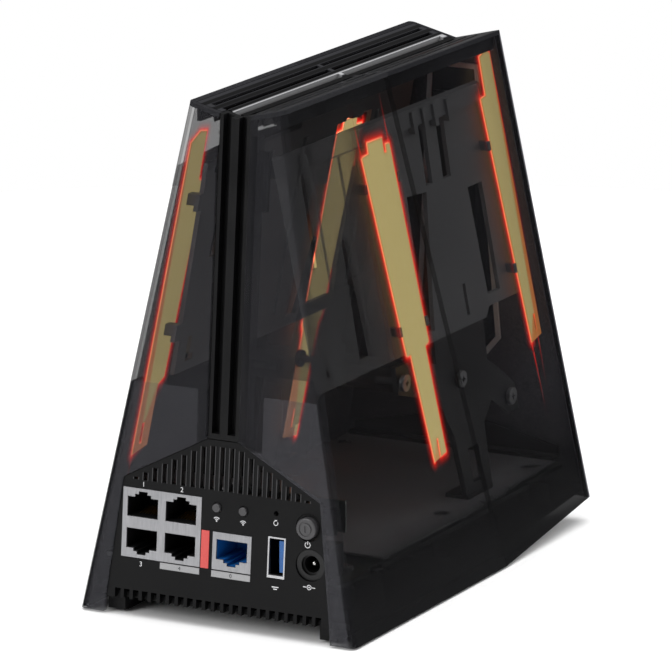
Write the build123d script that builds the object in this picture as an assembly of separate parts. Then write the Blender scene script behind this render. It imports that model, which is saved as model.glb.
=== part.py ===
from build123d import *
import math
import os

# A free-standing wireless router: a tall, wedge-shaped housing with every port on its rear.
# Millimetres. +Z up, +Y towards the rear (ports), -Y towards the front, symmetric in X.
# The origin is the middle of the footprint, on the surface that the router stands on.
# "Left" and "right" are seen from the front: left is -X, right is +X.

# ---------------------------------------------------------------- driving dimensions
HEIGHT = 177.0                 # top edges of the side panels
DEPTH = 185.0                  # rear bottom edge to the chin
BASE_HALF_WIDTH = 53.0         # half width on the ground
TOP_HALF_WIDTH = 18.0          # half width at the top edges
REAR_LEAN = 0.0872             # forward shift of the rear face per mm of height (5 degrees)
FRONT_LEAN = 0.0494            # backward shift of the front face per mm of height
CHIN_HEIGHT = 9.0              # front bottom edge above the ground
SEAM_DEPTH = 113.7             # depth of the seam between the two shells, at the ground
SEAM_LEAN = 0.136              # shift of the seam towards the rear per mm of height
VALLEY_DEPTH = 4.5             # the top is a shallow valley, this much lower in the middle
SKIRT = 0.8                    # the shells stop this far above the ground
WALL = 2.0                     # shell wall
EDGE_ROUND = 2.2               # rounding of the long outer corners
GAP = 0.15                     # assembly gap between neighbouring mouldings

BOARD_TOP = 20.6               # top of the main circuit board
BOARD_THICK = 1.6
PANEL_RECESS = 0.5             # the port panel sits this far inside the rear face
PANEL_THICK = 2.0

RJ45_WIDTH = 11.8              # plug opening of a network socket
RJ45_HEIGHT = 6.8
RJ45_DEPTH = 15.0
LATCH_WIDTHS = (6.2, 3.4)      # the two steps of the latch notch
LATCH_STEP = 1.0

WING_TOP = 159.6               # top edge of the antenna carriers
WING_BOTTOM = 80.6
WING_OFFSET = 8.0              # carriers lie this far inside the side panels
WING_THICK = 1.6
ANTENNA_OFFSET = 5.0           # antenna plates lie this far inside the side panels
ANTENNA_THICK = 0.5

HALF_DEPTH = DEPTH / 2
SIDE_SLOPE = (BASE_HALF_WIDTH - TOP_HALF_WIDTH) / HEIGHT
SIDE_STRETCH = math.hypot(1, SIDE_SLOPE)
SIDES = {"left": -1, "right": 1}


# ---------------------------------------------------------------- outline rules
def at_depth(depth):
    """Y of a point this far in front of the rear bottom edge."""
    return HALF_DEPTH - depth


def rear_y(z, inset=0.0):
    return HALF_DEPTH - REAR_LEAN * z - inset


def front_y(z, inset=0.0):
    return -(HALF_DEPTH - FRONT_LEAN * (z - CHIN_HEIGHT)) + inset


def side_x(z, inset=0.0):
    """Half width of the housing at height z, less an inset measured square to the panel."""
    return BASE_HALF_WIDTH - SIDE_SLOPE * z - inset * SIDE_STRETCH


def seam_y(z):
    return at_depth(SEAM_DEPTH) + SEAM_LEAN * z


def valley_z(x):
    return HEIGHT - VALLEY_DEPTH * (1 - abs(x) / TOP_HALF_WIDTH)


# ---------------------------------------------------------------- small solid makers
def outline_face(points, inset=0.0):
    face = make_face(Polyline(*points, close=True))
    return offset(face, -inset, kind=Kind.INTERSECTION) if inset else face


def along_x(points, x0, x1, inset=0.0):
    """A prism between x0 and x1 on an outline of (y, z) points."""
    return Plane.YZ.offset(x0) * extrude(outline_face(points, inset), x1 - x0)


def along_y(points, y0, y1, inset=0.0):
    """A prism between y0 and y1 on an outline of (x, z) points."""
    return Plane.XZ.offset(-y1) * extrude(outline_face(points, inset), y1 - y0)


def along_z(points, z0, z1, inset=0.0):
    """A prism between z0 and z1 on an outline of (x, y) points."""
    return Plane.XY.offset(z0) * extrude(outline_face(points, inset), z1 - z0)


def block(x0, x1, y0, y1, z0, z1):
    size = (x1 - x0, y1 - y0, z1 - z0)
    return Pos((x0 + x1) / 2, (y0 + y1) / 2, (z0 + z1) / 2) * Box(*size)


def rod_y(x, z, radius, y0, y1):
    return Pos(x, (y0 + y1) / 2, z) * Rot(90, 0, 0) * Cylinder(radius, y1 - y0)


def rod_z(x, y, radius, z0, z1):
    return Pos(x, y, (z0 + z1) / 2) * Cylinder(radius, z1 - z0)


def rod_x(y, z, radius, x0, x1):
    return Pos((x0 + x1) / 2, y, z) * Rot(0, 90, 0) * Cylinder(radius, x1 - x0)


def rear_slab(inset, thick):
    """The layer between two planes parallel to the rear face, as wide as the whole router."""
    low, high = -20.0, HEIGHT + 20
    outer = [(rear_y(z, inset), z) for z in (low, high)]
    inner = [(rear_y(z, inset + thick), z) for z in (high, low)]
    return along_x(outer + inner, -80, 80)


def front_slab(inset, thick):
    low, high = -20.0, HEIGHT + 20
    outer = [(front_y(z, inset), z) for z in (low, high)]
    inner = [(front_y(z, inset + thick), z) for z in (high, low)]
    return along_x(outer + inner, -80, 80)


def side_layer(outline, inset, thick, side):
    """A plate parallel to a side panel. Its outline is a list of (depth, height) points."""
    slab = [(side * side_x(z, inset), z) for z in (-10, HEIGHT)]
    slab += [(side * side_x(z, inset + thick), z) for z in (HEIGHT, -10)]
    plate = along_x([(at_depth(d), z) for d, z in outline], -70, 70)
    return plate & along_y(slab, -120, 120)


def strip(d0, d1, z0, z1):
    """A rectangle of (depth, height) points."""
    return [(d0, z0), (d1, z0), (d1, z1), (d0, z1)]


def group(solids):
    """Separate solids that share one node."""
    return Compound(children=[solid for part in solids for solid in part.solids()])


# ---------------------------------------------------------------- housing
def outer_form():
    profile = [(rear_y(SKIRT), SKIRT), (rear_y(HEIGHT), HEIGHT), (front_y(HEIGHT), HEIGHT)]
    profile += [(front_y(CHIN_HEIGHT), CHIN_HEIGHT), (seam_y(SKIRT), SKIRT)]
    gable = [(-side_x(0), 0), (side_x(0), 0), (TOP_HALF_WIDTH, HEIGHT), (-TOP_HALF_WIDTH, HEIGHT)]
    form = along_x(profile, -70, 70) & along_y(gable, -120, 120)
    corners = form.edges().filter_by(lambda e: abs((e % 0.5).Z) > 0.9)
    form = fillet(corners, EDGE_ROUND)
    valley = [(-TOP_HALF_WIDTH, HEIGHT), (0, HEIGHT - VALLEY_DEPTH), (TOP_HALF_WIDTH, HEIGHT)]
    return form - along_y(valley + [(0, HEIGHT + 5)], -120, 120)


def inner_form():
    low, high = -10, HEIGHT + 10
    profile = [(rear_y(low, WALL), low), (rear_y(high, WALL), high)]
    profile += [(front_y(high, WALL), high), (front_y(low, WALL), low)]
    gable = [(-side_x(low, WALL), low), (side_x(low, WALL), low)]
    gable += [(side_x(high, WALL), high), (-side_x(high, WALL), high)]
    return along_x(profile, -70, 70) & along_y(gable, -120, 120)


# Outlines of (x, z) points on the rear and the front face.
PANEL_OUTLINE = [(-43.0, 6.0), (43.0, 6.0), (37.6, 48.0), (6.2, 64.5), (-6.2, 64.5), (-37.6, 48.0)]
PANEL_CUT = [(-44.0, -5.0), (44.0, -5.0), (43.0, 6.0), (37.6, 48.0), (6.2, 64.5), (-6.2, 64.5),
             (-37.6, 48.0), (-43.0, 6.0)]
SPINE_HALF_WIDTH = 6.0
SPINE_BOTTOM = 64.5
WINDOW = [(-10, 164), (10, 164), (17, 64), (0, 44), (-17, 64)]
LIGHT_WIDTH = 1.8


def housing_shells():
    skin = outer_form() - inner_form()
    slot = block(-SPINE_HALF_WIDTH, SPINE_HALF_WIDTH, 60, 100, SPINE_BOTTOM - 1, HEIGHT + 5)
    rear = (skin & seam_half(1)) - along_y(PANEL_CUT, 60, 100) - slot
    rear += spine_channel()
    front = (skin & seam_half(-1)) - along_y(WINDOW, -100, -60)
    for side in SIDES.values():
        rear += screw_boss(side * BASE_SCREW_X, BASE_SCREW_REAR_Y)
        front += screw_boss(side * BASE_SCREW_X, BASE_SCREW_FRONT_Y)
    return rear, front


def seam_half(way):
    """Everything behind the seam (way 1) or in front of it (way -1)."""
    low, high = -10, HEIGHT + 10
    far = way * 120
    edge = [(seam_y(z) + way * GAP / 2, z) for z in (low, high)]
    return along_x(edge + [(far, high), (far, low)], -70, 70)


def spine_channel():
    """The folded-in back wall behind the spine. It joins the two halves of the rear face."""
    half = SPINE_HALF_WIDTH + 1.8
    outer = block(-half, half, 60, 100, SPINE_BOTTOM, HEIGHT - 10) & rear_slab(1.0, 6.0)
    hollow = block(-SPINE_HALF_WIDTH, SPINE_HALF_WIDTH, 60, 100, 0, HEIGHT) & rear_slab(-1, 6.6)
    return outer - hollow


BASE_SCREW_X = 43.0
BASE_SCREW_REAR_Y = 62.0
BASE_SCREW_FRONT_Y = -66.0
TRAY_FLOOR = 6.0               # underside of the bottom tray, behind the seam
TRAY_TOP = 8.0


def tray_rise(y):
    """How far the bottom tray has climbed at y, on its way up to the chin."""
    start = at_depth(SEAM_DEPTH)
    return max(start - y, 0.0) * CHIN_HEIGHT / (start + HALF_DEPTH) * 0.6


def screw_boss(x, y):
    """A post with a rib to the side wall, for one screw from below."""
    side = math.copysign(1, x)
    bottom = TRAY_TOP + 0.2 + tray_rise(y - 4)
    wall = x + side * 6.5
    rib = block(min(x, wall), max(x, wall), y - 1, y + 1, bottom, 18.0)
    inside = [(-side_x(0, 1), 0), (side_x(0, 1), 0), (side_x(20, 1), 20), (-side_x(20, 1), 20)]
    post = (rod_z(x, y, 3.4, bottom, 18.0) + rib) & along_y(inside, -99, 99)
    return post - rod_z(x, y, 1.35, 0, 17.0)


def spine():
    """The ridge up the middle of the rear face: two grooves with a rib between them."""
    half = SPINE_HALF_WIDTH - GAP
    bar = block(-half, half, 60, 100, SPINE_BOTTOM + GAP, HEIGHT)
    bar &= rear_slab(0.4, 5.0)
    for side in (-1, 1):
        groove = block(side * 3.0 - 1.5, side * 3.0 + 1.5, 60, 100, SPINE_BOTTOM + 2, HEIGHT + 5)
        bar -= groove & rear_slab(-1, 4.4)
    valley = [(-TOP_HALF_WIDTH, HEIGHT), (0, valley_z(0)), (TOP_HALF_WIDTH, HEIGHT), (0, HEIGHT + 9)]
    return bar - along_y(valley, 60, 100)


FIN_STATIONS = (5.0, 9.3, 13.4)
FIN_WIDTH = 2.4
FIN_DROP = 4.6
GRILLE_RAIL = 1.4
REAR_BAR_HEIGHT = 1.2          # low, so that the ends of the fins show under it
FRONT_BAR_HEIGHT = 5.0


def top_grille():
    """Long fins of triangular section, from the rear bar to the front bar, along the valley."""
    inside = side_x(HEIGHT, WALL) - GAP
    y_rear = rear_y(HEIGHT, WALL) - GAP
    y_front = front_y(HEIGHT, WALL) + GAP
    middle = (y_front + y_rear) / 2
    grille = grille_bar(inside, y_front, y_front + 3.0, FRONT_BAR_HEIGHT)
    grille += grille_bar(inside, y_rear - 3.0, y_rear, REAR_BAR_HEIGHT)
    grille += grille_bar(inside, middle - 1.0, middle + 1.0, FRONT_BAR_HEIGHT)
    for side in SIDES.values():
        edge = inside - GRILLE_RAIL
        rail = [(side * edge, valley_z(edge)), (side * inside, valley_z(inside))]
        rail += [(side * inside, HEIGHT - 7), (side * edge, HEIGHT - 7)]
        grille += along_y(rail, y_front, y_rear)
        for x in FIN_STATIONS:
            low, high = x - FIN_WIDTH / 2, x + FIN_WIDTH / 2
            fin = [(side * low, valley_z(low)), (side * high, valley_z(high))]
            grille += along_y(fin + [(side * x, valley_z(x) - FIN_DROP)], y_front, y_rear)
    keel = [(-1.3, valley_z(1.3)), (0, valley_z(0)), (1.3, valley_z(1.3))]
    grille += along_y(keel + [(1.0, HEIGHT - 9), (-1.0, HEIGHT - 9)], y_front, y_rear)
    notch = SPINE_HALF_WIDTH + 2 * GAP
    return grille - block(-notch, notch, y_rear - 3.8, y_rear + 1, 160, 180)


def grille_bar(half, y0, y1, height):
    """A cross bar whose top follows the valley."""
    top = [(-half, valley_z(half)), (0, valley_z(0)), (half, valley_z(half))]
    return along_y(top + [(x, z - height) for x, z in reversed(top)], y0, y1)


def front_insert(inset, thick):
    """Window-shaped pieces of the front face, a given inset from the window's edge."""
    return along_y(WINDOW, -100, -60, inset) & front_slab(0.3, thick)


def light_guide():
    ring = front_insert(GAP, 2.6) - along_y(WINDOW, -100, -60, LIGHT_WIDTH)
    return ring


def front_panel():
    """The dark centre panel, with shallow sloping grooves."""
    panel = front_insert(LIGHT_WIDTH + GAP, 2.2)
    grooves = front_slab(-1, 2.2)
    for i in range(9):
        z = 70 + 10 * i
        panel -= block(-6, 6, -100, -60, z, z + 4) & grooves
    return panel


# ---------------------------------------------------------------- port panel
# Places on the port panel: (x, z) of centres.
LAN_COLUMNS = (29.9, 15.1)
LAN_ROWS = (27.2, 38.0)
LAN_BLOCK = (7.3, 37.6, BOARD_TOP, 44.4)
WAN_CENTRE = (-4.8, 27.6)
WAN_BLOCK = (-12.2, 2.6, BOARD_TOP, 33.4)
USB_BLOCK = (-25.1, -18.5, BOARD_TOP, 34.5)
POWER_BUTTON = (-33.4, 39.2)
DC_JACK = (-34.6, 26.6)
DC_JACK_RADIUS = 5.3
WPS_BUTTON = (1.4, 41.6)
LED_BUTTON = (-8.7, 41.6)
RESET_HOLE = (-21.1, 42.4)
BUTTON_RADIUS = 1.5
POWER_CAP_RADIUS = 3.7
POWER_HOLE_RADIUS = 4.7
RUN_GAP = 0.3


def socket_block(frame, depth, inset):
    """A connector body that stands on the board and ends in the plane of the port panel."""
    x0, x1, z0, z1 = frame
    body = block(x0 + inset, x1 - inset, 50, 100, z0, z1 - inset)
    return body & along_x([(rear_y(z, PANEL_RECESS - 0.1), z) for z in (0, 70)]
                          + [(rear_y(45, depth), 70), (rear_y(45, depth), 0)], -60, 60)


def plug_cavity(x, z, latch, y_back):
    """The opening for a network plug: a rectangle, with a stepped notch for the latch."""
    half_width, half_height = RJ45_WIDTH / 2, RJ45_HEIGHT / 2
    cavity = block(x - half_width, x + half_width, y_back, 100, z - half_height, z + half_height)
    for step, width in enumerate(LATCH_WIDTHS, start=1):
        reach = half_height + step * LATCH_STEP
        z0, z1 = (z, z + reach) if latch > 0 else (z - reach, z)
        cavity += block(x - width / 2, x + width / 2, y_back, 100, z0, z1)
    return cavity


def lan_cavities(y_back):
    cavities = []
    for x in LAN_COLUMNS:
        for z, latch in zip(LAN_ROWS, (-1, 1)):
            cavities.append(plug_cavity(x, z, latch, y_back))
    return cavities


VENT_COUNT = 19
VENT_PITCH = 3.65
VENT_WIDTH = 1.7
VENT_FLOOR = 47.4
VENT_RIM = 2.3                 # solid strip between the slots and the tent's edge
COMB_PITCH = 3.5
COMB_COUNT = 23


def tent_z(x):
    """Height of the port panel's sloping top edge."""
    (x_low, z_low), (x_high, z_high) = PANEL_OUTLINE[2:4]
    return z_high - max(abs(x) - x_high, 0) * (z_high - z_low) / (x_low - x_high)


def io_panel():
    """The sloping port panel: tent-shaped top with vent slots, comb-like bottom edge."""
    panel = along_y(PANEL_OUTLINE, 60, 100, GAP) & rear_slab(PANEL_RECESS, PANEL_THICK)
    for x0, x1, z0, z1 in (LAN_BLOCK, WAN_BLOCK, USB_BLOCK):
        panel -= block(x0 - GAP, x1 + GAP, 60, 100, z0 - 0.3, z1 + GAP)
    panel -= rod_y(*DC_JACK, DC_JACK_RADIUS + GAP, 60, 100)
    panel -= rod_y(*POWER_BUTTON, POWER_HOLE_RADIUS, 60, 100)
    panel -= rod_y(*WPS_BUTTON, BUTTON_RADIUS + RUN_GAP, 60, 100)
    panel -= rod_y(*LED_BUTTON, BUTTON_RADIUS + RUN_GAP, 60, 100)
    panel -= rod_y(*RESET_HOLE, 0.9, 60, 100)
    for i in range(VENT_COUNT):
        x = (i - (VENT_COUNT - 1) / 2) * VENT_PITCH
        top = tent_z(x) - VENT_RIM
        panel -= block(x - VENT_WIDTH / 2, x + VENT_WIDTH / 2, 60, 100, VENT_FLOOR, top)
    for i in range(COMB_COUNT):
        x = (i - (COMB_COUNT - 1) / 2) * COMB_PITCH
        panel -= block(x - 1.1, x + 1.1, 60, 100, 5.0, 9.4)
    return panel


def lan_parts():
    shield = socket_block(LAN_BLOCK, 27, 0)
    x0, x1, z0, z1 = LAN_BLOCK
    insert = socket_block((x0 + 0.4, x1 - 0.4, z0 + 0.4, z1), 26.5, 0.4) & rear_slab(1.2, 60)
    shield -= insert
    for cavity in lan_cavities(rear_y(33) - RJ45_DEPTH):
        insert -= cavity
        shield -= cavity
    return shield, insert


def wan_parts():
    x0, x1, z0, z1 = WAN_BLOCK
    y_back = rear_y(28) - RJ45_DEPTH
    cavity = plug_cavity(WAN_CENTRE[0], WAN_CENTRE[1], -1, y_back)
    insert = socket_block((x0 + 0.4, x1 - 0.4, z0 + 0.4, z1), 20.5, 0.4) & rear_slab(1.2, 60)
    shield = socket_block(WAN_BLOCK, 21, 0) - insert - cavity
    return shield, insert - cavity


CONTACT_COUNT = 8
CONTACT_PITCH = 1.02


def plug_contacts(x, z, latch):
    """Eight sprung wires on the side of the opening that faces away from the latch."""
    wires = []
    root = z - latch * (RJ45_HEIGHT / 2 - 0.15)
    tip = root + latch * 1.0
    y_back = rear_y(30) - RJ45_DEPTH + 0.1
    for i in range(CONTACT_COUNT):
        at = x + (i - (CONTACT_COUNT - 1) / 2) * CONTACT_PITCH
        spring = [(y_back, root), (y_back + 9.5, root)]
        spring += [(y_back + 2.5, tip + latch * 0.35), (y_back + 2.3, tip)]
        wires.append(along_x(spring, at - 0.2, at + 0.2))
    return wires


def lan_contacts():
    wires = []
    for x in LAN_COLUMNS:
        for z, latch in zip(LAN_ROWS, (-1, 1)):
            wires += plug_contacts(x, z, latch)
    return group(wires)


def usb_parts():
    x0, x1, z0, z1 = USB_BLOCK
    body = socket_block(USB_BLOCK, 14, 0)
    y_back = rear_y(28) - 12.5
    shell = body - block(x0 + 0.5, x1 - 0.5, y_back, 100, z0 + 0.9, z1 - 0.5)
    y_tip = rear_y(34) - 1.0
    tongue = block(x0 + 0.9, x0 + 2.7, y_back, y_tip, z0 + 1.7, z1 - 1.3)
    pads = [block(x0 + 2.7, x0 + 2.85, y_back + 2, y_tip - 1.5, z - 0.6, z + 0.6)
            for z in (24.0, 26.5, 29.0, 31.5)]
    return shell, tongue, group(pads)


def dc_jack_parts():
    x, z = DC_JACK
    front = rear_y(z + DC_JACK_RADIUS, PANEL_RECESS)
    barrel = rod_y(x, z, DC_JACK_RADIUS, front - 4.5, front)
    housing = block(x - 4.6, x + 4.6, front - 14.5, front - 4.5, BOARD_TOP, z + 5.0)
    body = barrel + housing - rod_y(x, z, 2.9, front - 10.5, 100)
    body -= Pos(x, front, z) * Rot(90, 0, 0) * Cone(2.9, 4.1, 2.4)
    pin = rod_y(x, z, 0.95, front - 12.5, front - 3.0)
    tip = Pos(x, front - 3.0, z) * Sphere(0.95)
    pin = pin + tip
    return body - pin, pin


# ---------------------------------------------------------------- buttons
SWITCH_FACE = rear_y(41.6) - 8.6
BUTTON_BOARD_FACE = SWITCH_FACE - 3.6


def power_cap():
    """A round cap with a raised bar and ring, on a stem that enters the switch."""
    x, z = POWER_BUTTON
    face = rear_y(z) + 1.6
    cap = rod_y(x, z, POWER_CAP_RADIUS, face - 6.0, face)
    cap = fillet(cap.edges().filter_by(GeomType.CIRCLE).sort_by(Axis.Y)[-1], 0.5)
    cap -= rod_y(x, z, 2.5, face - 0.25, face + 1) - rod_y(x, z, 2.0, face - 1, face + 1)
    cap -= block(x - 0.3, x + 0.3, face - 0.25, face + 1, z - 1.1, z + 1.1)
    return cap + rod_y(x, z, 1.8, SWITCH_FACE - 1.3, face - 6.0)


def power_bezel():
    """The black sleeve that lines the power button's hole."""
    x, z = POWER_BUTTON
    front = rear_y(z + 5, PANEL_RECESS)
    sleeve = rod_y(x, z, POWER_HOLE_RADIUS - GAP, front - 6.5, front)
    return sleeve - rod_y(x, z, POWER_CAP_RADIUS + RUN_GAP, 60, 100)


def power_switch():
    x, z = POWER_BUTTON
    body = block(x - 4.6, x + 4.6, BUTTON_BOARD_FACE, SWITCH_FACE - 0.8, z - 4.6, z + 4.6)
    return body - rod_y(x, z, 2.1, BUTTON_BOARD_FACE + 0.2, 100)


def small_button(centre, stand_out):
    x, z = centre
    face = rear_y(z) + stand_out
    cap = rod_y(x, z, BUTTON_RADIUS, rear_y(z) - 5.2, face)
    cap = fillet(cap.edges().filter_by(GeomType.CIRCLE).sort_by(Axis.Y)[-1], 0.3)
    return cap + rod_y(x, z, 0.8, SWITCH_FACE - 0.6, rear_y(z) - 5.2)


def tact_body(centre):
    x, z = centre
    body = block(x - 3.0, x + 3.0, BUTTON_BOARD_FACE, SWITCH_FACE, z - 3.0, z + 3.0)
    return body - rod_y(x, z, 1.1, SWITCH_FACE - 2.0, 100)


def reset_plunger():
    x, z = RESET_HOLE
    return rod_y(x, z, 0.7, SWITCH_FACE - 0.8, rear_y(z, PANEL_RECESS + PANEL_THICK) - 1.0)


def button_board():
    board = block(-41.0, 5.5, BUTTON_BOARD_FACE - 1.2, BUTTON_BOARD_FACE, 35.5, 46.5)
    return board - rod_y(-15, 41, 1.1, 0, 100) - rod_y(-28, 41, 1.1, 0, 100)


# ---------------------------------------------------------------- bottom
RAIL_INNER, RAIL_OUTER = 37.4, 44.0
RAIL_REAR_DEPTH, RAIL_FRONT_DEPTH = 4.4, 112.0
STANDOFFS = [(-38, 70), (38, 48), (-38, 0), (38, 0), (-37, -70), (37, -70)]
FOOT_LENGTH = 20.0
FOOT_THICK = 1.4


def tray_layer(low, high):
    """The band between two heights that follows the tray's climb to the chin."""
    y_rear, y_seam, y_front = rear_y(7, WALL + 1.0), at_depth(SEAM_DEPTH), front_y(14, WALL + GAP)
    climb = tray_rise(y_front)
    profile = [(y_rear, low), (y_seam, low), (y_front, low + climb)]
    profile += [(y_front, high + climb), (y_seam, high), (y_rear, high)]
    low_half, high_half = side_x(0, WALL), side_x(30, WALL)
    inside = [(-low_half, 0), (low_half, 0), (high_half, 30), (-high_half, 30)]
    return along_x(profile, -60, 60) & along_y(inside, -99, 99, GAP)


def base_tray():
    """The bottom cover: floor with air slots, two rails to stand on, and posts for the board."""
    tray = tray_layer(TRAY_FLOOR, TRAY_TOP)
    for side in (-1, 1):
        x0, x1 = sorted((side * RAIL_INNER, side * RAIL_OUTER))
        rail = [(at_depth(RAIL_REAR_DEPTH), 1.0), (at_depth(RAIL_FRONT_DEPTH), 1.0)]
        rail += [(at_depth(RAIL_FRONT_DEPTH + 9), TRAY_FLOOR + 0.5)]
        rail += [(at_depth(RAIL_REAR_DEPTH), TRAY_FLOOR + 0.5)]
        tray += along_x(rail, x0, x1)
        for y in foot_stations():
            tray -= block(x0 + 1.0, x1 - 1.0, y - FOOT_LENGTH / 2, y + FOOT_LENGTH / 2, 0, FOOT_THICK)
    for row in range(-2, 3):
        for i in range(14):
            y = -18 + 6 * i
            tray -= block(row * 13 - 4.6, row * 13 + 4.6, y - 1.2, y + 1.2, 0, 10)
    for x, y in STANDOFFS:
        tray += rod_z(x, y, 3.0, TRAY_FLOOR + 1 + tray_rise(y), BOARD_TOP - BOARD_THICK)
        tray -= rod_z(x, y, 1.15, TRAY_TOP + 2, BOARD_TOP)
    for x, y in base_screw_places():
        tray -= rod_z(x, y, 1.5, 0, 20)
        tray -= rod_z(x, y, 2.9, 0, TRAY_FLOOR + 0.9 + tray_rise(y))
    return tray


def foot_stations():
    return (at_depth(RAIL_REAR_DEPTH + 14), at_depth(RAIL_FRONT_DEPTH - 13))


def rubber_feet():
    feet = []
    for side in (-1, 1):
        x0, x1 = sorted((side * (RAIL_INNER + 1.1), side * (RAIL_OUTER - 1.1)))
        for y in foot_stations():
            foot = block(x0, x1, y - FOOT_LENGTH / 2 + 0.1, y + FOOT_LENGTH / 2 - 0.1, 0, FOOT_THICK)
            feet.append(fillet(foot.edges().group_by(Axis.Z)[0], 0.35))
    return group(feet)


def base_screw_places():
    return [(side * BASE_SCREW_X, y) for side in (-1, 1) for y in (BASE_SCREW_REAR_Y, BASE_SCREW_FRONT_Y)]


def screw(x, y, seat, length, head_radius, shank_radius, drive=1.0):
    """A pan-head cross-recess screw on +Z, its head below its seat."""
    head = rod_z(x, y, head_radius, seat - 1.6, seat)
    head = fillet(head.edges().sort_by(Axis.Z)[0], 0.5)
    cross = block(x - drive, x + drive, y - 0.3, y + 0.3, seat - 2, seat - 0.8)
    cross += block(x - 0.3, x + 0.3, y - drive, y + drive, seat - 2, seat - 0.8)
    return head - cross + rod_z(x, y, shank_radius, seat, seat + length)


def base_screws():
    screws = []
    for x, y in base_screw_places():
        seat = TRAY_FLOOR + 0.9 + tray_rise(y)
        screws.append(screw(x, y, seat, 16.5 - seat, 2.5, 1.25, 1.5))
    return group(screws)


def board_screws():
    screws = []
    for x, y in STANDOFFS:
        upright = screw(0, 0, 0, 6.0, 2.2, 1.1, 1.2)
        screws.append(Pos(x, y, BOARD_TOP) * Rot(180, 0, 0) * upright)
    return group(screws)


# ---------------------------------------------------------------- electronics
def main_board():
    half = 45.2
    y_rear, y_front = rear_y(20, 3.2), front_y(20, 3.8)
    board = block(-half, half, y_front, y_rear, BOARD_TOP - BOARD_THICK, BOARD_TOP)
    for side in (-1, 1):
        x0, x1 = sorted((side * 41.5, side * 50))
        board -= block(x0, x1, -92, at_depth(150), 0, 30)
        x0, x1 = sorted((side * 43.5, side * 50))
        board -= block(x0, x1, at_depth(150) - 1, at_depth(118), 0, 30)
        for y in (BASE_SCREW_REAR_Y, BASE_SCREW_FRONT_Y):
            board -= block(x0 - 0.5 * (side < 0), x1, y - 4, y + 4, 0, 30)
    for x, y in STANDOFFS:
        board -= rod_z(x, y, 1.3, 0, 30)
    return board


PLATE_LOW = BOARD_TOP + 1.8
PLATE_TOP = PLATE_LOW + 0.8
PLATE_STEPS = [(34, 46.0), (108, 46.0), (108, 45.2), (128, 45.2), (128, 43.9), (136, 43.9), (142, 42.9),
               (156, 42.9), (160, 41.6), (174, 41.6), (181, 37.0)]


def ground_plate():
    """The stamped cover plate over the board, with stepped sides and a corner hole."""
    right = [(x, at_depth(d)) for d, x in PLATE_STEPS]
    left = [(-x, y) for x, y in reversed(right)]
    plate = along_z(right + left, PLATE_LOW, PLATE_TOP)
    for side in (-1, 1):
        plate -= rod_z(side * 39.2, at_depth(165), 1.7, 0, 30)
        for d in (112, 120, 133, 146, 152):
            x0, x1 = sorted((side * 42.6, side * 50))
            plate -= block(x0, x1, at_depth(d) - 1.1, at_depth(d) + 1.1, 0, 30)
    for x, y in STANDOFFS:
        plate -= rod_z(x, y, 3.0, 0, 30)
    return plate


def plate_spacers():
    """Threaded spacers between the board and the cover plate."""
    spots = [(-30, 40), (30, 40), (-30, -30), (30, -30), (0, -80)]
    return group([rod_z(x, y, 2.4, BOARD_TOP, PLATE_LOW) for x, y in spots])


CHIP_LOW = BOARD_TOP - BOARD_THICK - 1.2
PAD_LOW = CHIP_LOW - 0.8
CHIPS = [(-14, -18, 17), (18, 22, 14), (-16, 30, 12)]
MEMORY = [(10, -16, 9), (22, -16, 9), (-30, 10, 8)]


def square_pieces(places, margin, z0, z1):
    """Square blocks at (x, y, width) places, a margin narrower on each side."""
    pieces = []
    for x, y, width in places:
        half = width / 2 - margin
        pieces.append(block(x - half, x + half, y - half, y + half, z0, z1))
    return group(pieces)


def soldered_chips(places):
    return square_pieces(places, 0, CHIP_LOW, BOARD_TOP - BOARD_THICK)


def heat_sink():
    """An extruded block under the board: a plate with long fins."""
    sink = block(-32, 32, -34, 44, PAD_LOW - 1.8, PAD_LOW)
    for i in range(15):
        x = (i - 7) * 4.4
        sink += block(x - 0.6, x + 0.6, -34, 44, TRAY_TOP + 2.4, PAD_LOW - 1.7)
    return sink


def wifi_shields():
    """Stamped shielding cans on the underside, in front of the heat sink."""
    cans = []
    for x in (-22, 0, 22):
        can = block(x - 9, x + 9, -62, -40, BOARD_TOP - BOARD_THICK - 2.6, BOARD_TOP - BOARD_THICK)
        can -= block(x - 8.7, x + 8.7, -61.7, -40.3, BOARD_TOP - BOARD_THICK - 2.3, BOARD_TOP)
        cans.append(can)
    return group(cans)


def antenna_connectors():
    sockets = []
    for x in (-42.4, 42.4):
        for y in (at_depth(42), at_depth(100)):
            cup = rod_z(x, y, 1.4, BOARD_TOP, BOARD_TOP + 1.4)
            sockets.append(cup - rod_z(x, y, 0.9, BOARD_TOP + 0.5, 30))
    return group(sockets)


def capacitors():
    places = [(-30.5, 68, 3.1), (-23.5, 67, 3.1), (-17.5, 66, 2.6)]
    return group([rod_z(x, y, r, BOARD_TOP, BOARD_TOP + 8.0) for x, y, r in places])


# ---------------------------------------------------------------- antennas and their carriers
WING = [(19, WING_TOP), (167.6, WING_TOP), (171.6, 84), (148, 84), (144.5, WING_BOTTOM), (21, WING_BOTTOM)]
WING_SLOTS = [[(31.5, 120), (36, 120), (38, 151.5), (33, 151.5)],
              [(117.5, 132), (122.5, 132), (124, 152.5), (119, 152.5)],
              [(130.5, 132), (136.5, 132), (138, 152.5), (132, 152.5)],
              [(51, 85), (60, 85), (57, 126), (52.5, 126)],
              [(98.6, 84), (106, 84), (117, 130), (102.5, 131)],
              [(148.5, 88), (158, 88), (158, 126), (147, 126)],
              [(131, 84), (133.2, 84), (133.2, 95), (131, 95)],
              [(27, 84), (32, 84), (32, 86.5), (29.4, 86.5), (29.4, 93), (27, 93)]]
WING_RIBS = [(44, 48), (64, 66), (88, 90), (126, 128), (141, 143)]
RIGHT_WINDOW = [(112.4, 86), (131.5, 86), (134.6, 151.5), (112.4, 151.5)]


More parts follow.
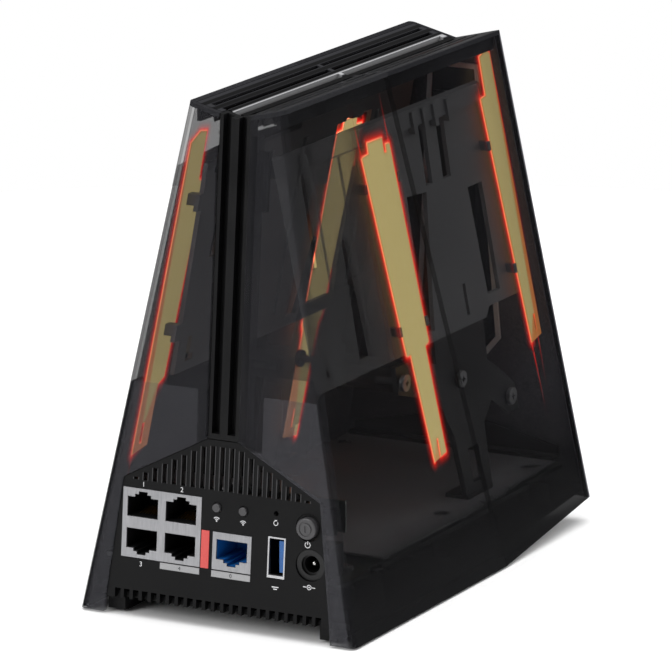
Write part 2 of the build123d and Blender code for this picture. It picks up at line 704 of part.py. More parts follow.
def antenna_carrier(side, hooks, right):
    """A moulded wing parallel to the side panel: lip, slots, stiffening ribs and antenna hooks.
    The right one has a window behind its middle antenna and an arm to its rear one."""
    wing = side_layer(WING, WING_OFFSET, WING_THICK, side)
    wing += side_layer(strip(40, 166, WING_TOP - 6.2, WING_TOP), WING_OFFSET - 1.4, 1.5, side)
    for outline in WING_SLOTS:
        wing -= side_layer(outline, WING_OFFSET - 0.5, WING_THICK + 1, side)
    for d0, d1 in WING_RIBS:
        rib = strip(d0, d1, WING_BOTTOM + 7, WING_TOP - 8)
        wing += side_layer(rib, WING_OFFSET + WING_THICK - 0.1, 1.2, side)
    for d in (34, 113, 121, 129, 139):
        hook = strip(d - 1.2, d + 1.2, WING_TOP - 8.5, WING_TOP - 1)
        wing += side_layer(hook, WING_OFFSET - 2.4, 2.6, side)
    if right:
        wing -= side_layer(RIGHT_WINDOW, WING_OFFSET - 0.5, WING_THICK + 3, side)
    for d, z in hooks:
        wing += side_layer(strip(d - 0.9, d + 0.9, z - 1.6, z + 1.6), ANTENNA_OFFSET - 0.4, 3.5, side)
    if right:
        for z in (96, 142):
            wing += side_layer(strip(17, 24, z - 3, z + 3), WING_OFFSET, WING_THICK, side)
            wing += side_layer(strip(21, 24, z - 2, z + 2), REAR_PLATE_OFFSET + ANTENNA_THICK, 6, side)
    return wing


# Side, offset, outline of (depth, height) points and tuning slot of each antenna.
REAR_PLATE_OFFSET = 2.6
ANTENNAS = {
    "antenna_right_rear": ("right", REAR_PLATE_OFFSET,
                           [(13.4, 53), (23.0, 54.4), (23.4, 76), (27.0, 78), (31.2, 146), (27.4, 147.6),
                            (27.0, 164.6), (22.6, 165.4), (17.2, 162.4)],
                           (16.8, 18.6, 56, 63.5)),
    "antenna_right_mid": ("right", ANTENNA_OFFSET,
                          [(123.6, 33), (133.6, 31.8), (134.4, 74), (136.2, 76), (140.6, 146.4),
                           (136.2, 146.8), (135.8, 150), (126.4, 150), (126.2, 146.4), (122.4, 146),
                           (122.4, 75), (123.6, 74)],
                          (127.4, 128.8, 36, 43)),
    "antenna_left_mid": ("left", ANTENNA_OFFSET,
                         [(85.0, 43.4), (94.0, 45.0), (92.2, 82), (95.2, 83), (91.6, 152), (88.8, 152),
                          (88.6, 149.4), (87.0, 149.4), (87.0, 154.6), (76.4, 154.6), (76.0, 151),
                          (71.0, 150.4), (78.3, 81.4), (81.0, 81.2)],
                         (88.6, 89.8, 44.4, 50.6)),
    "antenna_left_front": ("left", ANTENNA_OFFSET,
                           [(169.4, 66.8), (177.4, 68.4), (174.4, 168.6), (172.6, 169.6), (169.6, 169.6),
                            (166.4, 168.4), (166.2, 155), (162.2, 154.4)],
                           (173.6, 174.8, 70, 76)),
}
HOOKS = {"left": [(69.4, 140), (94.4, 140), (76.2, 90), (95.9, 90), (161.8, 138), (165.8, 94)],
         "right": [(131.0, 152.4), (142.0, 138), (139.0, 92)]}


def antenna(side, inset, outline, slot):
    """A thin stamped plate with a stepped outline and a tuning slot."""
    plate = side_layer(outline, inset, ANTENNA_THICK, SIDES[side])
    return plate - side_layer(strip(*slot), inset - 1, 3, SIDES[side])


STAND_OFFSET = WING_OFFSET + WING_THICK + 0.1
STAND_THICK = 2.0
STAND = [(108, 86), (146, 86), (143, 66), (152, 60), (160, 54), (160, 45), (152, 45), (141, 52), (133, 46),
         (131, PLATE_TOP), (112, PLATE_TOP), (110, 46), (104, 58), (86, 65), (76, 68), (77, 77), (86, 77),
         (106, 72)]
STAND_SCREWS = [(79.5, 71.6), (119.5, 64.2), (153.5, 50.8)]
BOSS_OUTER = 3.9
SPACER_BORE = 1.25


def carrier_stand(side):
    """The bracket that holds a carrier up from the board: post, two arms and a foot."""
    sign = SIDES[side]
    stand = side_layer(STAND, STAND_OFFSET, STAND_THICK, sign)
    stand -= side_layer(strip(118, 126, 28, 40), STAND_OFFSET - 1, 4, sign)
    inner = side_x(PLATE_TOP, STAND_OFFSET) * sign
    x0, x1 = sorted((inner, inner - sign * 9))
    stand += block(x0, x1, at_depth(131), at_depth(112), PLATE_TOP, PLATE_TOP + 1.6)
    for d, z in STAND_SCREWS:
        stand -= rod_x(at_depth(d), z, 1.6, -60, 60)
    return stand


def cross_spacers():
    """Round spacers that tie the left stand to the right one."""
    spacers = []
    for d, z in STAND_SCREWS:
        reach = side_x(z + BOSS_OUTER, STAND_OFFSET + STAND_THICK) - 0.1
        spacer = rod_x(at_depth(d), z, BOSS_OUTER, -reach, reach)
        spacer -= rod_x(at_depth(d), z, SPACER_BORE, -reach, -reach + 9)
        spacer -= rod_x(at_depth(d), z, SPACER_BORE, reach - 9, reach)
        spacers.append(spacer)
    return group(spacers)


def stand_screws():
    screws = []
    for side in (-1, 1):
        for d, z in STAND_SCREWS:
            seat = side_x(z, STAND_OFFSET) + 0.65
            turned = Rot(0, -90 * side, 0) * screw(0, 0, 0, 10.0, 3.1, 1.2, 1.3)
            screws.append(Pos(side * seat, at_depth(d), z) * turned)
    return group(screws)


def spine_bracket():
    """The dark bracket inside the rear face that joins the spine to the two carriers."""
    plate = block(-9.4, 9.4, 50, 100, 141, 161) & rear_slab(7.2, 1.6)
    arms = block(-12.6, 12.6, 50, 100, 152, 158) & rear_slab(8.7, 7.0)
    arms -= block(-7.5, 7.5, 0, 100, 0, 200)
    low, high = [side_x(z, WING_OFFSET + WING_THICK + 1.3) for z in (0, 170)]
    inside = along_y([(-low, 0), (-high, 170), (high, 170), (low, 0)], 0, 100)
    return plate + (arms & inside)


# ---------------------------------------------------------------- front
def front_frame():
    """The low cross wall behind the chin, highest in the middle."""
    half = 41.0
    outline = [(-half, PLATE_TOP), (half, PLATE_TOP), (half, 27), (6, 34.6), (-6, 34.6), (-half, 27)]
    wall = along_y(outline, at_depth(179.6), at_depth(178.0))
    return wall + block(-half, half, at_depth(178.2), at_depth(173.0), PLATE_TOP, PLATE_TOP + 1.4)


def light_board():
    return block(-6, 6, -100, 0, 56, 154) & front_slab(5.6, 1.2)


LED_STATIONS = [64 + 12 * i for i in range(8)]


def indicator_leds():
    leds = []
    for z in LED_STATIONS:
        for x in (-3.4, 3.4):
            leds.append(block(x - 1.2, x + 1.2, -100, 0, z - 0.8, z + 0.8) & front_slab(4.8, 0.8))
    return group(leds)


# ---------------------------------------------------------------- printed strips
def panel_sticker(x0, x1, z0, z1):
    return block(x0, x1, 60, 100, z0, z1) & rear_slab(PANEL_RECESS - 0.25, 0.25)


def label_strips():
    return group([panel_sticker(7.3, 22.4, 18.1, 20.2), panel_sticker(-12.2, 2.6, 18.1, 20.2)])


def accent_tag():
    return panel_sticker(3.9, 6.9, 20.6, 33.4)


# ---------------------------------------------------------------- the whole router
def build():
    nodes = {}
    nodes["rear_shell"], nodes["front_shell"] = housing_shells()
    nodes["spine"] = spine()
    nodes["top_grille"] = top_grille()
    nodes["light_guide"] = light_guide()
    nodes["front_panel"] = front_panel()
    nodes["io_panel"] = io_panel()
    nodes["lan_shield"], nodes["lan_insert"] = lan_parts()
    nodes["lan_contacts"] = lan_contacts()
    nodes["wan_shield"], nodes["wan_insert"] = wan_parts()
    nodes["wan_contacts"] = group(plug_contacts(*WAN_CENTRE, -1))
    nodes["usb_shell"], nodes["usb_tongue"], nodes["usb_contacts"] = usb_parts()
    nodes["dc_jack"], nodes["dc_pin"] = dc_jack_parts()
    nodes["power_cap"] = power_cap()
    nodes["power_bezel"] = power_bezel()
    nodes["power_switch"] = power_switch()
    nodes["wps_button"] = small_button(WPS_BUTTON, 0.4)
    nodes["led_button"] = small_button(LED_BUTTON, 0.4)
    nodes["reset_plunger"] = reset_plunger()
    nodes["tact_switches"] = group([tact_body(place) for place in (WPS_BUTTON, LED_BUTTON, RESET_HOLE)])
    nodes["button_board"] = button_board()
    nodes["label_strips"] = label_strips()
    nodes["accent_tag"] = accent_tag()
    nodes["base_tray"] = base_tray()
    nodes["rubber_feet"] = rubber_feet()
    nodes["base_screws"] = base_screws()
    nodes["main_board"] = main_board()
    nodes["board_screws"] = board_screws()
    nodes["ground_plate"] = ground_plate()
    nodes["plate_spacers"] = plate_spacers()
    nodes["processors"] = soldered_chips(CHIPS)
    nodes["memory_chips"] = soldered_chips(MEMORY)
    nodes["thermal_pads"] = square_pieces(CHIPS, 0.5, PAD_LOW, CHIP_LOW)
    nodes["heat_sink"] = heat_sink()
    nodes["wifi_shields"] = wifi_shields()
    nodes["antenna_connectors"] = antenna_connectors()
    nodes["capacitors"] = capacitors()
    for side, sign in SIDES.items():
        nodes[f"antenna_carrier_{side}"] = antenna_carrier(sign, HOOKS[side], side == "right")
        nodes[f"carrier_stand_{side}"] = carrier_stand(side)
    for name, (side, inset, outline, slot) in ANTENNAS.items():
        nodes[name] = antenna(side, inset, outline, slot)
    nodes["cross_spacers"] = cross_spacers()
    nodes["stand_screws"] = stand_screws()
    nodes["spine_bracket"] = spine_bracket()
    nodes["front_frame"] = front_frame()
    nodes["light_board"] = light_board()
    nodes["indicator_leds"] = indicator_leds()
    return nodes


os.makedirs("parts", exist_ok=True)
for name, shape in build().items():
    export_step(shape, f"parts/{name}.step")
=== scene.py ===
import math

import bmesh
import bpy
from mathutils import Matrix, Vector


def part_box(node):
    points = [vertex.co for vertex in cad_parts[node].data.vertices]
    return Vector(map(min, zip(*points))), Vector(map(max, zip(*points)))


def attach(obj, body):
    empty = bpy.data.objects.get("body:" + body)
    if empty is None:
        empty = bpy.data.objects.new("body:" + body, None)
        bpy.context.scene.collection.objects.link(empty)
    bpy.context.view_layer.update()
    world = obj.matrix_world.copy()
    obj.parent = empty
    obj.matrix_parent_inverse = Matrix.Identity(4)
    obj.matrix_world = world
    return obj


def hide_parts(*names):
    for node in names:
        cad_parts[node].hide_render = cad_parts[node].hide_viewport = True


# A tall, wedge-shaped wireless router with smoked see-through walls and lit antenna plates.
# Metres. +Z up, +Y towards the rear with the ports, the footprint centred on the origin.
# "Left" and "right" are seen from the front: left is -X, right is +X.

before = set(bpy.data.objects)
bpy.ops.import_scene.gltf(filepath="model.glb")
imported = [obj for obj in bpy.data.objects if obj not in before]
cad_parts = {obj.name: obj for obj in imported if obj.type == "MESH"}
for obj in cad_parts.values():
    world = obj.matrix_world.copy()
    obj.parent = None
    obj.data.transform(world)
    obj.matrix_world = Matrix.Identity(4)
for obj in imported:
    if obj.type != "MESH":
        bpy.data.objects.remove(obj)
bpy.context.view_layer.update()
MM = 0.001                     # one millimetre in metres


# ---------------------------------------------------------------- camera
# A long lens a little above the router, behind it and to the side of the power button.

eye = Vector((-943.2, 1780.5, 577.0)) * MM
looked_at = Vector((-11.0, 26.9, 88.9)) * MM

camera_data = bpy.data.cameras.new("studio_camera")
camera_data.sensor_width = 36
camera_data.lens = 321.4
camera = bpy.data.objects.new("studio_camera", camera_data)
camera.location = eye
camera.rotation_euler = (looked_at - eye).to_track_quat("-Z", "Y").to_euler()
bpy.context.scene.collection.objects.link(camera)
bpy.context.scene.camera = camera
bpy.context.scene.view_settings.view_transform = "Standard"


# ---------------------------------------------------------------- floor and light
# A matt white sheet of paper under a wide overhead light, with a soft box behind the ports and a
# weaker one at each side. The room is white to look at and dim in reflections.

def linear(code):
    """An sRGB hex colour as linear red, green, blue and 1."""
    parts = [int(code[i:i + 2], 16) / 255 for i in (1, 3, 5)]
    return (*[p / 12.92 if p <= 0.04045 else ((p + 0.055) / 1.055) ** 2.4 for p in parts], 1)


def add(tree, kind, inputs=None, out=0, **settings):
    """Adds a node and returns one output. An input is a value, or another node's output to link."""
    node = tree.nodes.new(kind)
    for key, value in settings.items():
        setattr(node, key, value)
    for key, value in (inputs or {}).items():
        if isinstance(value, bpy.types.NodeSocket):
            tree.links.new(value, node.inputs[key])
        else:
            node.inputs[key].default_value = value
    return node.outputs[out] if node.outputs else None


def new_finish(name):
    """A material with an empty tree."""
    finish = bpy.data.materials.new(name)
    finish.use_nodes = True
    finish.node_tree.nodes.clear()
    return finish, finish.node_tree


def lamp(name, kind, place, watts, aim=(0, 0, 0.09)):
    """A light that points at the middle of the router. Its data is returned."""
    data = bpy.data.lights.new(name, kind)
    data.energy = watts
    holder = bpy.data.objects.new(name, data)
    holder.location = place
    holder.rotation_euler = (Vector(aim) - Vector(place)).to_track_quat("-Z", "Y").to_euler()
    bpy.context.scene.collection.objects.link(holder)
    return data


lamp("overhead_light", "SUN", (0, 0, 2), 3.0).angle = math.radians(70)
for name, place, size, watts in (("rear_soft_box", (0.75, 1.5, 0.8), (0.9, 0.9), 17),
                                 ("side_soft_box", (-1.3, 0.1, 0.9), (0.4, 0.9), 4),
                                 ("front_soft_box", (-0.9, -1.3, 0.8), (0.7, 0.7), 9)):
    box = lamp(name, "AREA", place, watts)
    box.shape = "RECTANGLE"
    box.size, box.size_y = size

world = bpy.data.worlds.new("studio_room")
world.use_nodes = True
bpy.context.scene.world = world
room = world.node_tree
room.nodes.clear()
seen = add(room, "ShaderNodeLightPath", out="Is Camera Ray")
dim = add(room, "ShaderNodeBackground", {"Color": linear("#ffffff"), "Strength": 0.16})
white = add(room, "ShaderNodeBackground", {"Color": linear("#ffffff"), "Strength": 1.0})
either = add(room, "ShaderNodeMixShader", {0: seen, 1: dim, 2: white})
add(room, "ShaderNodeOutputWorld", {"Surface": either})

paper, tree = new_finish("white_studio_paper")
skin = add(tree, "ShaderNodeBsdfDiffuse", {"Color": linear("#fdfdfd")})
add(tree, "ShaderNodeOutputMaterial", {"Surface": skin})

FLOOR_RADIUS = 0.62
FLOOR_SIDES = 64
floor_mesh = bpy.data.meshes.new("studio_floor")
floor_turns = [math.tau * i / FLOOR_SIDES for i in range(FLOOR_SIDES)]
floor_rim = [(FLOOR_RADIUS * math.cos(turn), FLOOR_RADIUS * math.sin(turn), 0) for turn in floor_turns]
floor_mesh.from_pydata(floor_rim, [], [tuple(range(FLOOR_SIDES))])
floor_mesh.materials.append(paper)
floor = bpy.data.objects.new("studio_floor", floor_mesh)
bpy.context.scene.collection.objects.link(floor)


# ---------------------------------------------------------------- bottom tray
# The bottom cover, injection-moulded in black ABS. The mould was spark-eroded, so the plastic is
# matt with a fine even grit. Four screws hold it to the shells.

def dress(finish, *nodes):
    """Gives CAD nodes their finish."""
    for node in nodes:
        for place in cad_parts[node].material_slots:
            place.material = finish


def moulded(name, dark, light, rough, grit, depth, shine=0.5):
    """Moulded plastic or rubber: slow cloudy unevenness under a grit, whose size and depth are in mm."""
    finish, tree = new_finish(name)
    place = add(tree, "ShaderNodeTexCoord", out="Object")
    cloud = add(tree, "ShaderNodeTexNoise", {"Vector": place, "Scale": 1 / (14 * MM), "Detail": 3.0})
    fine = add(tree, "ShaderNodeTexNoise", {"Vector": place, "Scale": 1 / (grit * MM), "Detail": 2.0})
    mixed = add(tree, "ShaderNodeMath", {0: cloud, 1: fine}, operation="ADD")
    tone = add(tree, "ShaderNodeMapRange", {"Value": mixed, "From Min": 0.75, "From Max": 1.25})
    colour = add(tree, "ShaderNodeMix", {0: tone, 6: linear(dark), 7: linear(light)},
                 data_type="RGBA", out=2)
    gloss = add(tree, "ShaderNodeMapRange", {"Value": cloud, "From Min": 0.3, "From Max": 0.7,
                                             "To Min": rough - 0.05, "To Max": rough + 0.05})
    bump = add(tree, "ShaderNodeBump", {"Height": fine, "Strength": 0.6, "Distance": depth * MM})
    skin = add(tree, "ShaderNodeBsdfPrincipled", {
        "Base Color": colour, "Roughness": gloss, "IOR": 1.54, "Specular IOR Level": shine,
        "Normal": bump})
    add(tree, "ShaderNodeOutputMaterial", {"Surface": skin})
    return finish


# Eroded black ABS: the grit is 0.3 mm on such mouldings and is drawn at 0.7 mm, so that it shows.
matt_abs = moulded("moulded_black_abs_eroded", "#070708", "#0c0c0d", 0.55, 0.7, 0.012, 0.15)
dress(matt_abs, "base_tray")


# ---------------------------------------------------------------- feet
# Four pads of moulded silicone rubber, glued into pockets in the tray's rails. Dull, dusty black.

rubber = moulded("moulded_silicone_rubber", "#161616", "#202020", 0.8, 0.5, 0.02)
dress(rubber, "rubber_feet")


# ---------------------------------------------------------------- screws
# Zinc-plated steel with pan heads and cross recesses: grey and bright, with turned rings too fine
# to see and a slightly uneven plating.

def plated(name, dark, light, rough, grain, along=(1, 1, 1), mouth=-1000):
    """Metal with lines along the axis whose factor is small. In front of mouth, in mm of Y, its colour is
    darkened: painted shade inside an opening.
    """
    finish, tree = new_finish(name)
    place = add(tree, "ShaderNodeTexCoord", out="Object")
    drawn = add(tree, "ShaderNodeMapping", {"Vector": place, "Scale": along})
    lines = add(tree, "ShaderNodeTexNoise", {"Vector": drawn, "Scale": 1 / (grain * MM), "Detail": 3.0})
    colour = add(tree, "ShaderNodeMix", {0: lines, 6: linear(dark), 7: linear(light)},
                 data_type="RGBA", out=2)
    gloss = add(tree, "ShaderNodeMapRange", {"Value": lines, "From Min": 0.3, "From Max": 0.7,
                                             "To Min": rough - 0.06, "To Max": rough + 0.06})
    depth = add(tree, "ShaderNodeSeparateXYZ", {0: place}, out=1)
    # Painted shade: in front of the mouth the colour falls to 6 %, the dark inside of the opening.
    shade_inside_mouth = add(tree, "ShaderNodeMapRange", {
        "Value": depth, "From Min": (mouth - 0.6) * MM, "From Max": mouth * MM,
        "To Min": 0.06, "To Max": 1.0})
    seen = add(tree, "ShaderNodeVectorMath", {0: colour, 3: shade_inside_mouth}, operation="SCALE")
    bump = add(tree, "ShaderNodeBump", {"Height": lines, "Strength": 0.3, "Distance": 0.006 * MM})
    skin = add(tree, "ShaderNodeBsdfPrincipled", {
        "Base Color": seen, "Roughness": gloss, "Metallic": 1.0, "Normal": bump})
    add(tree, "ShaderNodeOutputMaterial", {"Surface": skin})
    return finish


zinc = plated("zinc_plated_screw_steel", "#68686a", "#88888a", 0.42, 0.8)
dress(zinc, "base_screws", "board_screws", "stand_screws")


# ---------------------------------------------------------------- main board
# Glass epoxy under black solder mask, so it is a deep satin black with copper tracks just raised
# under the mask. Six screws hold it on the tray's posts.

def solder_mask(name):
    """Black lacquer over rows of tracks, with a fine unevenness of 0.9 mm."""
    finish, tree = new_finish(name)
    place = add(tree, "ShaderNodeTexCoord", out="Object")
    tracks = add(tree, "ShaderNodeTexBrick", {
        "Vector": place, "Scale": 1 / (9 * MM), "Color1": linear("#0b1110"), "Color2": linear("#0e1615"),
        "Mortar": linear("#18221f"), "Mortar Size": 0.02, "Brick Width": 0.9, "Row Height": 0.16})
    fine = add(tree, "ShaderNodeTexNoise", {"Vector": place, "Scale": 1 / (0.9 * MM)})
    raised = add(tree, "ShaderNodeMath", {0: tracks.node.outputs["Fac"], 1: fine}, operation="ADD")
    bump = add(tree, "ShaderNodeBump", {"Height": raised, "Strength": 0.4, "Distance": 0.03 * MM})
    gloss = add(tree, "ShaderNodeMapRange", {"Value": fine, "To Min": 0.28, "To Max": 0.42})
    skin = add(tree, "ShaderNodeBsdfPrincipled", {
        "Base Color": tracks.node.outputs["Color"], "Roughness": gloss, "IOR": 1.55, "Normal": bump})
    add(tree, "ShaderNodeOutputMaterial", {"Surface": skin})
    return finish


dress(solder_mask("black_solder_mask_on_glass_epoxy"), "main_board", "button_board", "light_board")


# ---------------------------------------------------------------- chips, cans and heat sink
# Epoxy packages with a matt moulded top, soft grey-blue gap pads, stamped tin-plated shields, sleeved
# aluminium capacitors and an extruded aluminium heat sink with drawing lines along its fins.

dress(moulded("black_epoxy_package", "#131314", "#1c1c1d", 0.6, 0.4, 0.01), "processors", "memory_chips")
dress(moulded("soft_silicone_gap_pad", "#8893a6", "#9aa5b8", 0.7, 1.2, 0.05), "thermal_pads")
tinned = plated("nickel_plated_stamped_steel", "#a9a9ab", "#c9c9cb", 0.34, 0.6, (1, 1, 0.06))
dress(tinned, "wifi_shields", "antenna_connectors", "plate_spacers")
dress(plated("extruded_clear_anodised_aluminium", "#b6b6b9", "#cfcfd2", 0.4, 0.7, (1, 0.05, 1)),
      "heat_sink")
dress(moulded("sleeved_aluminium_can", "#2b2b30", "#34343a", 0.35, 1.5, 0.01), "capacitors")


# ---------------------------------------------------------------- cover plate
# A stamped aluminium sheet over the board, anodised satin grey, with stepped edges and a hole at each
# front corner. Five threaded spacers carry it.

dress(moulded("anodised_grey_aluminium_sheet", "#5e5e62", "#6c6c70", 0.45, 1.0, 0.004), "ground_plate")


# ---------------------------------------------------------------- network, USB and power sockets
# Stamped nickel-plated shields round nylon bodies, soldered to the board. The sprung wires in the
# openings are bronze with a thin gold flash.

USB_MOUTH = 88.9               # mm of Y: in front of it the inside of the USB shell gets painted shade

dress(plated("brushed_nickel_plated_shield", "#868688", "#a4a4a7", 0.38, 0.6, (1, 1, 0.08)),
      "lan_shield", "wan_shield")
dress(plated("tin_plated_usb_shell", "#a9a9ab", "#c9c9cb", 0.34, 0.6, (1, 1, 0.06), USB_MOUTH),
      "usb_shell")
dress(moulded("black_glass_filled_nylon", "#070708", "#0d0d0e", 0.5, 0.6, 0.01, 0.3),
      "lan_insert", "dc_jack")
dress(moulded("blue_glass_filled_nylon", "#0c4f92", "#1262a8", 0.42, 0.6, 0.01), "wan_insert")
dress(moulded("bright_blue_usb_nylon", "#0b4a88", "#105a9c", 0.4, 0.6, 0.01), "usb_tongue")
dress(plated("gold_flashed_bronze", "#c39a48", "#e2bd66", 0.32, 0.4), "lan_contacts", "wan_contacts",
      "usb_contacts")
dress(plated("nickel_plated_pin", "#b4b3af", "#cfcecb", 0.25, 0.5), "dc_pin")


# ---------------------------------------------------------------- buttons
# Grey ABS caps with a satin spark-eroded face. Each slides in the port panel and presses a switch on
# a small board behind it.

dress(moulded("moulded_grey_abs_satin", "#2e2d2f", "#383739", 0.42, 0.6, 0.01),
      "power_cap", "wps_button", "led_button", "reset_plunger")
dress(matt_abs, "power_bezel", "power_switch", "tact_switches")


# ---------------------------------------------------------------- port panel
# A separate black ABS moulding let into the rear face, darker and finer than the shell round it. It
# has a tent of vent slots over the sockets and a comb of teeth along its foot.

REAR_LEAN = 0.0872             # the rear face leans inwards by this much for each metre of height

panel_abs = moulded("moulded_black_abs_fine", "#060607", "#0b0b0c", 0.5, 0.6, 0.01, 0.12)
dress(panel_abs, "io_panel")

# Each vent slot has a fine raised lip along both long edges. The lips are coloured paler than the
# panel, a painted highlight where the slot edges catch the light.
VENT_INPUTS = {"Count": 19, "Pitch": 3.65 * MM, "Slot Width": 1.7 * MM, "Lip Width": 0.3 * MM,
               "Floor": 47.4 * MM, "Peak": 62.2 * MM, "Flat Half": 6.2 * MM, "Slope": 0.5255,
               "Lean": REAR_LEAN, "Rear": 92.04 * MM}

lips = bpy.data.node_groups.new("vent_lips", "GeometryNodeTree")
lips.interface.new_socket("Geometry", in_out="OUTPUT", socket_type="NodeSocketGeometry")
sockets = {}
for label, value in VENT_INPUTS.items():
    kind = "NodeSocketInt" if label == "Count" else "NodeSocketFloat"
    sockets[label] = lips.interface.new_socket(label, in_out="INPUT", socket_type=kind).identifier
given = add(lips, "NodeGroupInput").node.outputs
less = add(lips, "ShaderNodeMath", {0: given["Count"], 1: 1}, operation="SUBTRACT")
half_run = add(lips, "ShaderNodeMath", {0: less, 1: given["Pitch"]}, operation="MULTIPLY")
first = add(lips, "ShaderNodeMath", {0: half_run, 1: -0.5}, operation="MULTIPLY")
start = add(lips, "ShaderNodeCombineXYZ", {0: first})
step = add(lips, "ShaderNodeCombineXYZ", {0: given["Pitch"]})
row = add(lips, "GeometryNodeMeshLine",
          {"Count": given["Count"], "Start Location": start, "Offset": step})
spot = add(lips, "GeometryNodeInputPosition")
spot_x = add(lips, "ShaderNodeSeparateXYZ", {0: spot})
from_middle = add(lips, "ShaderNodeMath", {0: spot_x}, operation="ABSOLUTE")
past = add(lips, "ShaderNodeMath", {0: from_middle, 1: given["Flat Half"]}, operation="SUBTRACT")
past = add(lips, "ShaderNodeMath", {0: past, 1: 0.0}, operation="MAXIMUM")
drop = add(lips, "ShaderNodeMath", {0: past, 1: given["Slope"]}, operation="MULTIPLY")
peak = add(lips, "ShaderNodeMath", {0: given["Peak"], 1: drop}, operation="SUBTRACT")
tall = add(lips, "ShaderNodeMath", {0: peak, 1: given["Floor"]}, operation="SUBTRACT")
middle = add(lips, "ShaderNodeMath", {0: tall, 1: 0.5, 2: given["Floor"]}, operation="MULTIPLY_ADD")
edge = add(lips, "ShaderNodeMath", {0: given["Slot Width"], 1: given["Lip Width"]}, operation="ADD")
slab = add(lips, "ShaderNodeCombineXYZ", {0: given["Lip Width"], 1: given["Lip Width"], 2: 1.0})
strip = add(lips, "GeometryNodeMeshCube", {"Size": slab})
grow = add(lips, "ShaderNodeCombineXYZ", {0: 1.0, 1: 1.0, 2: tall})
both = add(lips, "GeometryNodeJoinGeometry")
for side in (-0.5, 0.5):
    aside = add(lips, "ShaderNodeMath", {0: edge, 1: side}, operation="MULTIPLY")
    shift = add(lips, "ShaderNodeCombineXYZ", {0: aside, 2: middle})
    placed = add(lips, "GeometryNodeInstanceOnPoints", {"Points": row, "Instance": strip, "Scale": grow})
    moved = add(lips, "GeometryNodeTranslateInstances",
                {0: placed, "Translation": shift, "Local Space": False})
    lips.links.new(moved, both.node.inputs[0])
real = add(lips, "GeometryNodeRealizeInstances", {0: both})
height = add(lips, "ShaderNodeSeparateXYZ", {0: spot}, out=2)
back = add(lips, "ShaderNodeMath", {0: height, 1: given["Lean"]}, operation="MULTIPLY")
back = add(lips, "ShaderNodeMath", {0: given["Rear"], 1: back}, operation="SUBTRACT")
lean = add(lips, "ShaderNodeCombineXYZ", {1: back})
leaning = add(lips, "GeometryNodeSetPosition", {0: real, "Offset": lean})
# A paler colour on the lips: a painted highlight along the slot edges.
lip_painted_highlight_abs = moulded("moulded_black_abs_painted_highlight", "#232325", "#2e2e30", 0.4, 0.6, 0.004, 0.4)
coated = add(lips, "GeometryNodeSetMaterial", {"Geometry": leaning, "Material": lip_painted_highlight_abs})
add(lips, "NodeGroupOutput", {0: coated})

seed = bpy.data.objects.new("vent_lips_seed", bpy.data.meshes.new("vent_lips_seed"))
bpy.context.scene.collection.objects.link(seed)
grown = seed.modifiers.new("vent_lips", "NODES")
grown.node_group = lips
for label, value in VENT_INPUTS.items():
    grown[sockets[label]] = value
lips_mesh = bpy.data.meshes.new_from_object(seed.evaluated_get(bpy.context.evaluated_depsgraph_get()))
bpy.data.objects.remove(seed)
vent_lips = bpy.data.objects.new("vent_lips", lips_mesh)
bpy.context.scene.collection.objects.link(vent_lips)
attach(vent_lips, "housing")

# Polyester strips, printed and then pressed on: satin, with a faint print screen.
dress(moulded("printed_white_polyester", "#8c8c8e", "#989899", 0.4, 0.5, 0.004), "label_strips")
dress(moulded("printed_red_polyester", "#c0423e", "#ca4a46", 0.4, 0.5, 0.004), "accent_tag")


# ---------------------------------------------------------------- printing
# Screen-printed marks, pale ink on the panel and dark ink on the white strips: a digit at each network
# socket and a plain sign at each button and inlet. The ink is a matt skin too thin to feel.

PANEL_FACE = 92.0              # mm of Y of the port panel's face, carried on down to the floor
RING_STEPS = 20


def ring(across, up, radius, stroke, start=0, end=360):
    """A printed arc as a row of quads, in mm across to -X and up. Angles run from the top."""
    turns = [math.radians(start + (end - start) * i / RING_STEPS) for i in range(RING_STEPS + 1)]
    rows = [[(across + r * math.sin(turn), up + r * math.cos(turn)) for r in (radius - stroke, radius)]
            for turn in turns]
    return [[one[0], one[1], two[1], two[0]] for one, two in zip(rows, rows[1:])]


def bar(across, up, width, height):
    """A printed oblong as one quad, by its middle."""
    half, tall = width / 2, height / 2
    return [[(across - half, up - tall), (across + half, up - tall),
             (across + half, up + tall), (across - half, up + tall)]]


def digit(character, across, up, size):
    """A printed digit as the faces of a text, by its middle."""
    curve = bpy.data.curves.new("digit", "FONT")
    curve.body = character
    curve.size = size
    curve.align_x = curve.align_y = "CENTER"
    holder = bpy.data.objects.new("digit", curve)
    bpy.context.scene.collection.objects.link(holder)
    shape = bpy.data.meshes.new_from_object(holder.evaluated_get(bpy.context.evaluated_depsgraph_get()))
    faces = [[(across + shape.vertices[i].co.x, up + shape.vertices[i].co.y) for i in face.vertices]
             for face in shape.polygons]
    bpy.data.objects.remove(holder)
    bpy.data.curves.remove(curve)
    bpy.data.meshes.remove(shape)
    return faces


def printing(name, faces, proud, finish):
    """Lays printed faces over the leaning port panel, facing back and proud of it by so many mm."""
    points, polygons = [], []
    for face in faces:
        area = sum(a[0] * b[1] - b[0] * a[1] for a, b in zip(face, face[1:] + face[:1]))
        if area < 0:
            face = face[::-1]
        polygons.append(range(len(points), len(points) + len(face)))
        points += [(-u * MM, (PANEL_FACE - REAR_LEAN * v + proud) * MM, v * MM) for u, v in face]
    mesh = bpy.data.meshes.new(name)
    mesh.from_pydata(points, [], [tuple(polygon) for polygon in polygons])
    mesh.materials.append(finish)
    piece = bpy.data.objects.new(name, mesh)
    bpy.context.scene.collection.objects.link(piece)
    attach(piece, "housing")


